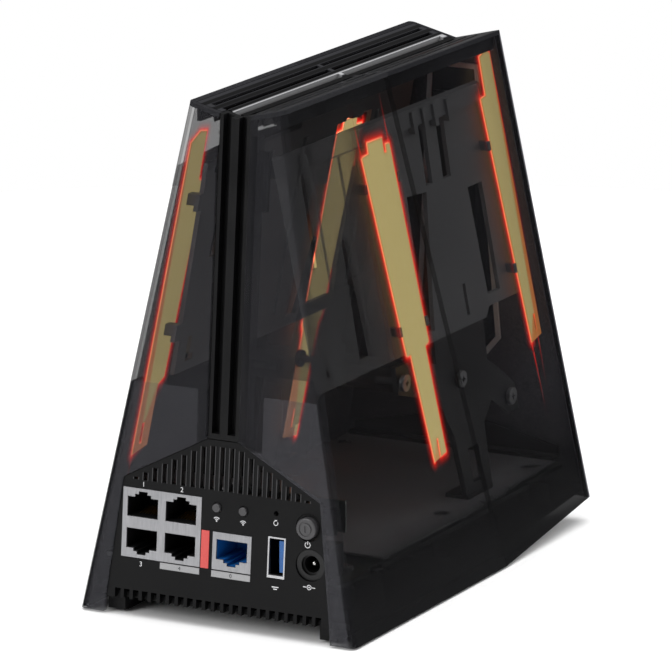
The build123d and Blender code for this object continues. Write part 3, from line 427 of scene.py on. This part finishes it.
# The digits of three sockets, then the signs under the power key, the reset hole, the USB socket and
# the power inlet, and arcs under the two small keys.
panel_marks = (digit("1", -29.9, 45.9, 2.4) + digit("2", -15.1, 45.9, 2.4) + digit("3", -29.9, 18.6, 2.4)
               + ring(33.4, 33.4, 1.1, 0.28, 32, 328) + bar(33.4, 34.1, 0.3, 1.2)
               + ring(21.1, 39.2, 0.9, 0.25, 60, 360) + bar(21.1, 40.1, 0.9, 0.3)
               + bar(21.8, 17.6, 2.6, 0.35) + bar(21.8, 16.9, 1.4, 0.35)
               + ring(34.6, 19.2, 0.9, 0.25) + bar(34.6, 19.2, 0.5, 0.5)
               + bar(36.3, 19.2, 1.2, 0.28) + bar(32.9, 19.2, 1.2, 0.28))
for key in (-1.4, 8.7):
    panel_marks += ring(key, 37.0, 1.5, 0.28, -50, 50)
    panel_marks += ring(key, 37.0, 0.9, 0.28, -50, 50)
    panel_marks += bar(key, 37.1, 0.5, 0.5)
pale_ink = moulded("pale_screen_ink", "#c4c4c6", "#d2d2d4", 0.6, 0.3, 0.002, 0.2)
dark_ink = moulded("dark_screen_ink", "#1c1c1e", "#262628", 0.6, 0.3, 0.002, 0.2)
printing("panel_printing", panel_marks, 0.05, pale_ink)
printing("strip_printing", digit("4", -14.85, 19.1, 1.9) + digit("0", 4.8, 19.1, 1.9), 0.3, dark_ink)


# ---------------------------------------------------------------- antenna carriers
# Two long wings in grey-black ABS, one inside each side panel, with slots and ribs. Each is screwed
# to a stand on the cover plate, and round spacers tie the stands together.

def carrier_plastic(name, dark, light, foremost, rearmost, veil, crest=1000):
    """Satin ABS. From foremost to rearmost, in mm of Y, it thins out to a smoked veil over the brass.
    Above the crest, in mm, its end behind Y 8 mm is almost clear."""
    finish, tree = new_finish(name)
    place = add(tree, "ShaderNodeTexCoord", out="Object")
    cloud = add(tree, "ShaderNodeTexNoise", {"Vector": place, "Scale": 1 / (18 * MM), "Detail": 3.0})
    fine = add(tree, "ShaderNodeTexNoise", {"Vector": place, "Scale": 1 / (0.8 * MM), "Detail": 2.0})
    colour = add(tree, "ShaderNodeMix", {0: cloud, 6: linear(dark), 7: linear(light)},
                 data_type="RGBA", out=2)
    bump = add(tree, "ShaderNodeBump", {"Height": fine, "Strength": 0.5, "Distance": 0.01 * MM})
    y = add(tree, "ShaderNodeSeparateXYZ", {0: place}, out=1)
    alpha = add(tree, "ShaderNodeMapRange", {
        "Value": y, "From Min": foremost * MM, "From Max": rearmost * MM, "To Min": 1.0, "To Max": veil})
    z = add(tree, "ShaderNodeSeparateXYZ", {0: place}, out=2)
    above = add(tree, "ShaderNodeMath", {0: z, 1: crest * MM}, operation="GREATER_THAN")
    behind = add(tree, "ShaderNodeMath", {0: y, 1: 8 * MM}, operation="GREATER_THAN")
    bare = add(tree, "ShaderNodeMath", {0: above, 1: behind}, operation="MULTIPLY")
    alpha = add(tree, "ShaderNodeMix", {0: bare, 2: alpha, 3: 0.1})
    skin = add(tree, "ShaderNodeBsdfPrincipled", {
        "Base Color": colour, "Roughness": 0.5, "IOR": 1.54, "Specular IOR Level": 0.3, "Normal": bump,
        "Alpha": alpha})
    add(tree, "ShaderNodeOutputMaterial", {"Surface": skin})
    return finish


dress(carrier_plastic("moulded_smoked_carrier_abs", "#5e5e60", "#6c6c6e", 5, 25, 0.47),
      "antenna_carrier_left")
dress(carrier_plastic("moulded_grey_carrier_abs", "#5c5c5e", "#68686a", 200, 300, 1.0, 155.5),
      "antenna_carrier_right")
stand_abs = moulded("moulded_black_stand_abs", "#101012", "#18181a", 0.5, 0.8, 0.01, 0.3)
dress(stand_abs, "carrier_stand_left", "front_frame")
dress(carrier_plastic("moulded_smoked_stand_abs", "#1c1c1e", "#262628", -60, -45, 0.3),
      "carrier_stand_right", "cross_spacers")
dress(panel_abs, "spine_bracket")


# ---------------------------------------------------------------- antennas
# Four plates stamped from 0.5 mm brass, hooked onto the carriers. The brass is satin with rolling
# lines along its length. It has a painted glow, redder along its edges, and a painted red glow fades into
# the space round it.

SIDE_LEAN = 0.19774            # the plates and the side walls lean inwards by this for each metre
PLATE_HALF = 0.25 * MM         # half the thickness of the brass
RIM = 0.9 * MM                 # how far the painted rim glow creeps in over the brass
CORE = 0.5 * MM                # how wide its brightest line is
HALO = 4.2 * MM                # how far it reaches out from the edges
BANDS = ((0.0, 1.0), (CORE, 0.85), (3 * CORE, 0.5), (HALO, 0.0))     # distance out, painted glow there
FAN_STEPS = 4                  # wedges that carry the bands round an outer corner
TAIL_WIDTH = 1.2 * MM          # the thin tails of painted glow at their thick end


def brass_with_painted_glow(name, glow, edge):
    """Satin brass with rolling lines and a painted glow over its face, in the edge colour along its rim.
    """
    finish, tree = new_finish(name)
    place = add(tree, "ShaderNodeTexCoord", out="Object")
    drawn = add(tree, "ShaderNodeMapping", {"Vector": place, "Scale": (1, 1, 0.06)})
    lines = add(tree, "ShaderNodeTexNoise", {"Vector": drawn, "Scale": 1 / (0.7 * MM), "Detail": 3.0})
    rim = add(tree, "ShaderNodeAttribute", attribute_name="rim", out="Fac")
    soft = add(tree, "ShaderNodeMath", {0: rim, 1: 1.6}, operation="POWER")
    base = add(tree, "ShaderNodeMix", {0: lines, 6: linear("#b9a566"), 7: linear("#cdb978")},
               data_type="RGBA", out=2)
    shine = add(tree, "ShaderNodeMix", {0: lines, 6: linear("#f2dc90"), 7: linear("#fdeaa2")},
                data_type="RGBA", out=2)
    tinted = add(tree, "ShaderNodeMix", {0: soft, 6: shine, 7: linear(edge)}, data_type="RGBA", out=2)
    bump = add(tree, "ShaderNodeBump", {"Height": lines, "Strength": 0.3, "Distance": 0.01 * MM})
    # Painted glow: the brass emits light of its own, in the rim colour along its edges.
    skin = add(tree, "ShaderNodeBsdfPrincipled", {
        "Base Color": base, "Roughness": 0.42, "Metallic": 1.0, "Normal": bump,
        "Emission Color": tinted, "Emission Strength": glow})
    add(tree, "ShaderNodeOutputMaterial", {"Surface": skin})
    return finish


def painted_red_glow(name, strength):
    """A painted red glow on a thin sheet: orange in its core and red outside, solid at the edge and gone
    at the end.
    """
    finish, tree = new_finish(name)
    glow = add(tree, "ShaderNodeAttribute", attribute_name="glow", out="Fac")
    place = add(tree, "ShaderNodeTexCoord", out="Object")
    drift = add(tree, "ShaderNodeTexNoise", {"Vector": place, "Scale": 1 / (9 * MM)})
    uneven = add(tree, "ShaderNodeMapRange", {"Value": drift, "From Min": 0.3, "From Max": 0.7,
                                              "To Min": 0.8, "To Max": 1.1})
    ramp = add(tree, "ShaderNodeValToRGB", {"Fac": glow})
    stops = ramp.node.color_ramp.elements
    stops[0].position, stops[0].color = 0.0, linear("#8c0a0a")
    stops[1].position, stops[1].color = 1.0, linear("#ff9a70")
    middle = stops.new(0.75)
    middle.color = linear("#ff2a1c")
    fade = add(tree, "ShaderNodeMath", {0: glow, 1: 1.7}, operation="POWER")
    alpha = add(tree, "ShaderNodeMath", {0: fade, 1: uneven}, operation="MULTIPLY", use_clamp=True)
    # Painted glow: the sheet only emits, fading out away from the plate's edge.
    skin = add(tree, "ShaderNodeBsdfPrincipled", {
        "Base Color": linear("#000000"), "Specular IOR Level": 0.0, "Roughness": 1.0,
        "Emission Color": ramp, "Emission Strength": strength, "Alpha": alpha})
    add(tree, "ShaderNodeOutputMaterial", {"Surface": skin})
    return finish


def new_piece(name, mesh, finish):
    """A finished piece of the housing, at the origin."""
    mesh.materials.append(finish)
    piece = bpy.data.objects.new(name, mesh)
    bpy.context.scene.collection.objects.link(piece)
    return piece


def lit_plate(node, finish):
    """The CAD plate with a narrow band cut round the edges of both faces, marked as its rim."""
    form = bmesh.new()
    form.from_mesh(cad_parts[node].data)
    layer = form.verts.layers.float.new("rim")
    bmesh.ops.remove_doubles(form, verts=form.verts, dist=0.001 * MM)
    bmesh.ops.dissolve_limit(form, angle_limit=math.radians(2), verts=form.verts, edges=form.edges)
    faces = sorted(form.faces, key=lambda face: face.calc_area())[-2:]
    outline = [vert.co.copy() for vert in faces[-1].verts]
    bmesh.ops.inset_region(form, faces=faces, thickness=RIM, use_even_offset=True)
    inner = {vert for face in faces if face.is_valid for vert in face.verts}
    for vert in form.verts:
        vert[layer] = 0.0 if vert in inner else 1.0
    bmesh.ops.triangulate(form, faces=form.faces)
    mesh = bpy.data.meshes.new(node + "_lit")
    form.to_mesh(mesh)
    form.free()
    piece = new_piece(node + "_lit", mesh, finish)
    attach(piece, "housing")
    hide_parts(node)
    return outline


def halo(node, outline, tails, finish):
    """Bands of painted glow round a plate's outline and thin tails past its ends, all in the plate's
    plane.
    """
    side = 1 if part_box(node)[1].x > 0 else -1
    facing = Vector((side, 0, SIDE_LEAN)).normalized()
    shift = facing * -PLATE_HALF
    count = len(outline)
    centre = sum(outline, Vector()) / count
    edges = list(zip(outline, outline[1:] + outline[:1]))
    area = sum((a - centre).cross(b - centre).dot(facing) for a, b in edges)
    turn = 1 if area > 0 else -1
    outward = [(b - a).normalized().cross(facing) * turn for a, b in edges]
    points, marks, faces = [], [], []

    def corner(place, mark):
        points.append(place)
        marks.append(mark)
        return len(points) - 1

    for i, (a, b) in enumerate(edges):
        out, after = outward[i], outward[(i + 1) % count]
        rows = [[corner(end + shift + out * reach, mark) for end in (a, b)] for reach, mark in BANDS]
        faces += [(p, q, s, r) for (p, q), (r, s) in zip(rows, rows[1:])]
        if out.cross(after).dot(facing) * turn > 0.02:
            ways = [out.lerp(after, j / FAN_STEPS).normalized() for j in range(FAN_STEPS + 1)]
            fan = [[corner(b + shift + way * reach, mark) for reach, mark in BANDS] for way in ways]
            for one, two in zip(fan, fan[1:]):
                faces += [(one[k], two[k], two[k + 1], one[k + 1]) for k in range(len(BANDS) - 1)]
    for edge in sorted(edges, key=lambda ends: (ends[1] - ends[0]).length)[-2:]:
        low, high = sorted(edge, key=lambda point: point.z)
        up = (high - low).normalized()
        across = up.cross(facing) * (TAIL_WIDTH / 2)
        for end, way, length in ((low, -up, tails[0]), (high, up, tails[1])):
            base = end + shift
            tip = corner(base + way * length * MM, 0.0)
            faces.append((corner(base - across, 0.65), corner(base + across, 0.65), tip))
    mesh = bpy.data.meshes.new(node + "_glow")
    mesh.from_pydata(points, [], faces)
    mesh.attributes.new("glow", "FLOAT", "POINT").data.foreach_set("value", marks)
    piece = new_piece(node + "_glow", mesh, finish)
    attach(piece, "housing")


# Node, painted glow of the brass, colour at its rim, painted glow of the halo, tails below and above in
# mm.
for node, brass_painted_glow, rim_colour, halo_painted_glow, tails in (
        ("antenna_left_mid", 0.82, "#ffb070", 2.6, (6, 24)),
        ("antenna_left_front", 0.66, "#ff9a50", 2.6, (34, 8)),
        ("antenna_right_mid", 0.95, "#ffb080", 4.2, (10, 26)),
        ("antenna_right_rear", 0.5, "#ffa070", 1.8, (10, 6))):
    plate_outline = lit_plate(node, brass_with_painted_glow("stamped_brass_painted_glow_" + node, brass_painted_glow, rim_colour))
    halo(node, plate_outline, tails, painted_red_glow("painted_red_glow_round_" + node, halo_painted_glow))


# ---------------------------------------------------------------- front light and panel
# A milky acrylic ring round a polished black centre panel, lit from behind by sixteen small LEDs on
# their own board.

dress(moulded("milky_diffusing_acrylic", "#d6d6da", "#e2e2e6", 0.3, 3.0, 0.01), "light_guide")
dress(moulded("clear_epoxy_led", "#d9d8c8", "#e8e7d8", 0.2, 1.0, 0.005), "indicator_leds")
dress(moulded("polished_black_acrylic", "#070708", "#0c0c0d", 0.14, 2.5, 0.002), "front_panel")


# ---------------------------------------------------------------- spine and top grille
# The ridge up the rear face and the finned top are one family of black ABS mouldings, satin. The
# top grille has a painted highlight along each fin edge and a pale painted highlight on one fin flank.

satin_abs = moulded("moulded_black_abs_satin", "#0b0b0c", "#101011", 0.4, 0.7, 0.006, 0.12)
dress(satin_abs, "spine")

FIN_START = 5.0 * MM           # the first fin's middle
FIN_PITCH = 4.2 * MM
FIN_HIGHLIGHT_MIDDLE = 3.4 * MM            # the middle of the fin flank that gets a painted highlight beside the valley

gloss_abs, tree = new_finish("polished_black_abs_painted_highlights")
place = add(tree, "ShaderNodeTexCoord", out="Object")
across = add(tree, "ShaderNodeSeparateXYZ", {0: place})
# Painted highlight: a pale stripe on the fin flank beside the valley.
middle = add(tree, "ShaderNodeMath", {0: across, 1: -FIN_HIGHLIGHT_MIDDLE}, operation="ADD")
off = add(tree, "ShaderNodeMath", {0: middle}, operation="ABSOLUTE")
fin_highlight = add(tree, "ShaderNodeMapRange", {"Value": off, "From Min": 0.7 * MM, "From Max": 1.3 * MM,
                                       "To Min": 1.0, "To Max": 0.0})
cloud = add(tree, "ShaderNodeTexNoise", {"Vector": place, "Scale": 1 / (9 * MM), "Detail": 3.0})
gloss = add(tree, "ShaderNodeMapRange", {"Value": cloud, "To Min": 0.16, "To Max": 0.3})
black = add(tree, "ShaderNodeMix", {0: cloud, 6: linear("#060607"), 7: linear("#0b0b0c")},
            data_type="RGBA", out=2)
# Painted highlights: a paler stripe along each fin edge.
width = add(tree, "ShaderNodeMath", {0: across}, operation="ABSOLUTE")
station = add(tree, "ShaderNodeMath", {0: width, 1: -FIN_START}, operation="ADD")
apart = add(tree, "ShaderNodeMath", {0: station, 1: FIN_PITCH / 2}, operation="PINGPONG")
edge = add(tree, "ShaderNodeMapRange", {"Value": apart, "From Min": 0.8 * MM, "From Max": 1.1 * MM})
edge_highlight = add(tree, "ShaderNodeMix", {0: edge, 6: black, 7: linear("#2c2c2f")}, data_type="RGBA", out=2)
colour = add(tree, "ShaderNodeMix", {0: fin_highlight, 6: edge_highlight, 7: linear("#a8a8aa")}, data_type="RGBA", out=2)
skin = add(tree, "ShaderNodeBsdfPrincipled", {
    "Base Color": colour, "Roughness": gloss, "IOR": 1.54, "Specular IOR Level": 0.05})
add(tree, "ShaderNodeOutputMaterial", {"Surface": skin})
dress(gloss_abs, "top_grille")


# ---------------------------------------------------------------- the two shells
# The housing walls, moulded in smoked polycarbonate, the rear one eroded outside and the front one
# polished. The rear and the near side are see-through above a tinted foot. The far side, the front
# and the rim are backed in black, but for a clear band high on the far side. Painted light and shade
# are laid on the colour of their insides, and painted light on the near side high at its front.

FRONT_LEAN = 0.0494            # the front wall leans inwards by this for each metre of height
VALLEY_RISE = 0.25             # the top rises by this much for each metre away from its valley
WALL_CLEAR = 0.36              # how opaque one surface of a see-through wall is
WALL_CORNER = 0.59             # the same along the rear wall's side edges
REAR_WALL = 90.2 * MM          # where the rear wall begins, and its outer skin, at the foot
REAR_SKIN = 91.5 * MM
FRONT_WALL = -90.4 * MM        # the same at the front
FRONT_SKIN = -92.0 * MM
SIDE_SKIN = 52.0 * MM          # where the outer skin of a side wall begins, at the foot
SIDE_CORNER = 50.8 * MM        # where the dark strip along the rear wall's edge begins
RIM_START = 171.0 * MM         # where the rim round the top begins, at the valley
FOOT_FADE = (3 * MM, 32 * MM)  # heights between which the tinted foot clears up
PORT_LEDGE = 81 * MM           # height of the half opaque part of the rear wall
SPINE_NOTCH = 19 * MM          # how much lower it is behind the spine


def wall_places(tree, place):
    """Distances that tell the walls apart, each the same all over one wall."""
    x, y, z = add(tree, "ShaderNodeSeparateXYZ", {0: place}).node.outputs
    width = add(tree, "ShaderNodeMath", {0: x}, operation="ABSOLUTE")
    return {
        "x": x, "y": y, "z": z,
        "behind": add(tree, "ShaderNodeMath", {0: z, 1: REAR_LEAN, 2: y}, operation="MULTIPLY_ADD"),
        "ahead": add(tree, "ShaderNodeMath", {0: z, 1: -FRONT_LEAN, 2: y}, operation="MULTIPLY_ADD"),
        "wide": add(tree, "ShaderNodeMath", {0: z, 1: SIDE_LEAN, 2: width}, operation="MULTIPLY_ADD"),
        "top": add(tree, "ShaderNodeMath", {0: width, 1: -VALLEY_RISE, 2: z}, operation="MULTIPLY_ADD")}


def far_side_alpha(tree, at):
    """Backed in black, thinning at the rear edge, and clear above a sill behind the middle."""
    sill = add(tree, "ShaderNodeMath", {0: at["behind"], 1: -0.065, 2: 160.4 * MM},
               operation="MULTIPLY_ADD")
    rise = add(tree, "ShaderNodeMath", {0: at["y"], 1: 0.05, 2: 155.0 * MM},
               operation="MULTIPLY_ADD")
    lower = add(tree, "ShaderNodeMath", {0: sill, 1: rise}, operation="MINIMUM")
    over = add(tree, "ShaderNodeMath", {0: at["z"], 1: lower}, operation="GREATER_THAN")
    rearward = add(tree, "ShaderNodeMath", {0: at["y"], 1: -1 * MM}, operation="GREATER_THAN")
    window = add(tree, "ShaderNodeMath", {0: over, 1: rearward}, operation="MULTIPLY")
    thinning = add(tree, "ShaderNodeMapRange", {
        "Value": at["behind"], "From Min": 74 * MM, "From Max": 92 * MM, "To Min": 1.0, "To Max": 0.72})
    low = add(tree, "ShaderNodeMath", {0: at["z"], 1: 80 * MM}, operation="LESS_THAN")
    backed = add(tree, "ShaderNodeMath", {0: thinning, 1: low}, operation="MAXIMUM")
    return add(tree, "ShaderNodeMix", {0: window, 2: backed, 3: WALL_CLEAR})


def near_side_painted_light(tree, at):
    """The near side is painted palest high up at its front: painted light from the front light."""
    forward = add(tree, "ShaderNodeMapRange", {
        "Value": at["y"], "From Min": 5 * MM, "From Max": -80 * MM}, interpolation_type="SMOOTHSTEP")
    lifted = add(tree, "ShaderNodeMapRange", {
        "Value": at["z"], "From Min": 28 * MM, "From Max": 58 * MM}, interpolation_type="SMOOTHSTEP")
    both = add(tree, "ShaderNodeMath", {0: forward, 1: lifted}, operation="MULTIPLY")
    return add(tree, "ShaderNodeMath", {0: both, 1: 0.5, 2: 0.14}, operation="MULTIPLY_ADD")


def rear_wall(tree, at, near, alpha, tone_and_painted_light):
    """See-through above a ledge over the ports, half opaque below it, dark along both side edges."""
    from_window = add(tree, "ShaderNodeMath", {0: at["x"], 1: 2.5 * MM}, operation="ADD")
    off = add(tree, "ShaderNodeMath", {0: from_window}, operation="ABSOLUTE")
    notch = add(tree, "ShaderNodeMath", {0: off, 1: 12.5 * MM}, operation="LESS_THAN")
    ledge = add(tree, "ShaderNodeMath", {0: notch, 1: -SPINE_NOTCH, 2: PORT_LEDGE},
                operation="MULTIPLY_ADD")
    low = add(tree, "ShaderNodeMath", {0: at["z"], 1: ledge}, operation="LESS_THAN")
    outer = add(tree, "ShaderNodeMath", {0: at["behind"], 1: REAR_SKIN}, operation="GREATER_THAN")
    coat = add(tree, "ShaderNodeMix", {0: near, 2: 0.52, 3: 0.64})
    skin_deep = add(tree, "ShaderNodeMix", {0: outer, 2: WALL_CLEAR, 3: coat})
    wall = add(tree, "ShaderNodeMix", {0: low, 2: WALL_CLEAR, 3: skin_deep})
    corner = add(tree, "ShaderNodeMath", {0: at["wide"], 1: SIDE_CORNER}, operation="GREATER_THAN")
    strip = add(tree, "ShaderNodeMath", {0: corner, 1: WALL_CORNER}, operation="MULTIPLY")
    wall = add(tree, "ShaderNodeMath", {0: wall, 1: strip}, operation="MAXIMUM")
    face = add(tree, "ShaderNodeMix", {0: low, 2: 1.0, 3: 1.55})
    face = add(tree, "ShaderNodeMix", {0: corner, 2: face, 3: 0.45})
    here = add(tree, "ShaderNodeMath", {0: at["behind"], 1: REAR_WALL}, operation="GREATER_THAN")
    return (add(tree, "ShaderNodeMix", {0: here, 2: alpha, 3: wall}),
            add(tree, "ShaderNodeMix", {0: here, 2: tone_and_painted_light, 3: face}))


def smoked(name, dark, light, rough, grit, depth, shine, inner, has_rear_wall):
    """Smoked polycarbonate, its grit in mm. inner is the painted light and shade on its inside at the
    foot and the top, as factors on its colour.
    """
    finish, tree = new_finish(name)
    place = add(tree, "ShaderNodeTexCoord", out="Object")
    at = wall_places(tree, place)
    near = add(tree, "ShaderNodeMath", {0: at["x"], 1: 0.0}, operation="LESS_THAN")
    foot = add(tree, "ShaderNodeMapRange", {
        "Value": at["z"], "From Min": FOOT_FADE[0], "From Max": FOOT_FADE[1],
        "To Min": 1.0, "To Max": WALL_CLEAR})
    far = add(tree, "ShaderNodeMath", {0: at["x"], 1: 0.0}, operation="GREATER_THAN")
    alpha = add(tree, "ShaderNodeMix", {0: far, 2: foot, 3: far_side_alpha(tree, at)})
    # Painted light and shade on the inner faces: a factor on the colour from inner[0] at the foot to
    # inner[1] higher up.
    lit = add(tree, "ShaderNodeMapRange", {
        "Value": at["z"], "From Min": 28 * MM, "From Max": 150 * MM,
        "To Min": inner[0], "To Max": inner[1]})
    inside = add(tree, "ShaderNodeMath", {0: at["wide"], 1: SIDE_SKIN}, operation="LESS_THAN")
    far_tone_and_painted_light = add(tree, "ShaderNodeMix", {0: inside, 2: 0.6, 3: lit})
    tone_and_painted_light = add(tree, "ShaderNodeMix", {0: near, 2: far_tone_and_painted_light, 3: near_side_painted_light(tree, at)})
    if has_rear_wall:
        alpha, tone_and_painted_light = rear_wall(tree, at, near, alpha, tone_and_painted_light)
    at_front = add(tree, "ShaderNodeMath", {0: at["ahead"], 1: FRONT_WALL}, operation="LESS_THAN")
    alpha = add(tree, "ShaderNodeMix", {0: at_front, 2: alpha, 3: 1.0})
    within = add(tree, "ShaderNodeMath", {0: at["ahead"], 1: FRONT_SKIN}, operation="GREATER_THAN")
    front = add(tree, "ShaderNodeMix", {0: within, 2: 0.6, 3: lit})
    tone_and_painted_light = add(tree, "ShaderNodeMix", {0: at_front, 2: tone_and_painted_light, 3: front})
    at_rim = add(tree, "ShaderNodeMath", {0: at["top"], 1: RIM_START}, operation="GREATER_THAN")
    alpha = add(tree, "ShaderNodeMix", {0: at_rim, 2: alpha, 3: 1.0})
    tone_and_painted_light = add(tree, "ShaderNodeMix", {0: at_rim, 2: tone_and_painted_light, 3: 0.7})
    fine = add(tree, "ShaderNodeTexNoise", {"Vector": place, "Scale": 1 / (grit * MM), "Detail": 2.0})
    tone = add(tree, "ShaderNodeMapRange", {"Value": fine, "From Min": 0.35, "From Max": 0.65})
    colour = add(tree, "ShaderNodeMix", {0: tone, 6: linear(dark), 7: linear(light)},
                 data_type="RGBA", out=2)
    shaded = add(tree, "ShaderNodeVectorMath", {0: colour, 3: tone_and_painted_light}, operation="SCALE")
    bump = add(tree, "ShaderNodeBump", {"Height": fine, "Strength": 0.5, "Distance": depth * MM})
    skin = add(tree, "ShaderNodeBsdfPrincipled", {
        "Base Color": shaded, "Roughness": rough, "IOR": 1.5, "Specular IOR Level": shine, "Normal": bump,
        "Alpha": alpha})
    add(tree, "ShaderNodeOutputMaterial", {"Surface": skin})
    return finish


# Polished in the mould. Its inside is painted 3.5 times paler, a painted reflection of the front light:
# the eye sees a dark gloss.
dress(smoked("smoked_polycarbonate_polished", "#262629", "#303033", 0.25, 0.9, 0.003, 0.01,
             (3.5, 3.5), False), "front_shell")

# Spark-eroded, with a grit of 0.3 mm that is drawn at 0.7 mm so that it shows: a dull, sandy black.
dress(smoked("smoked_polycarbonate_eroded", "#2a2a2d", "#39393c", 0.5, 0.7, 0.015, 0.02,
             (0.2, 0.5), True), "rear_shell")
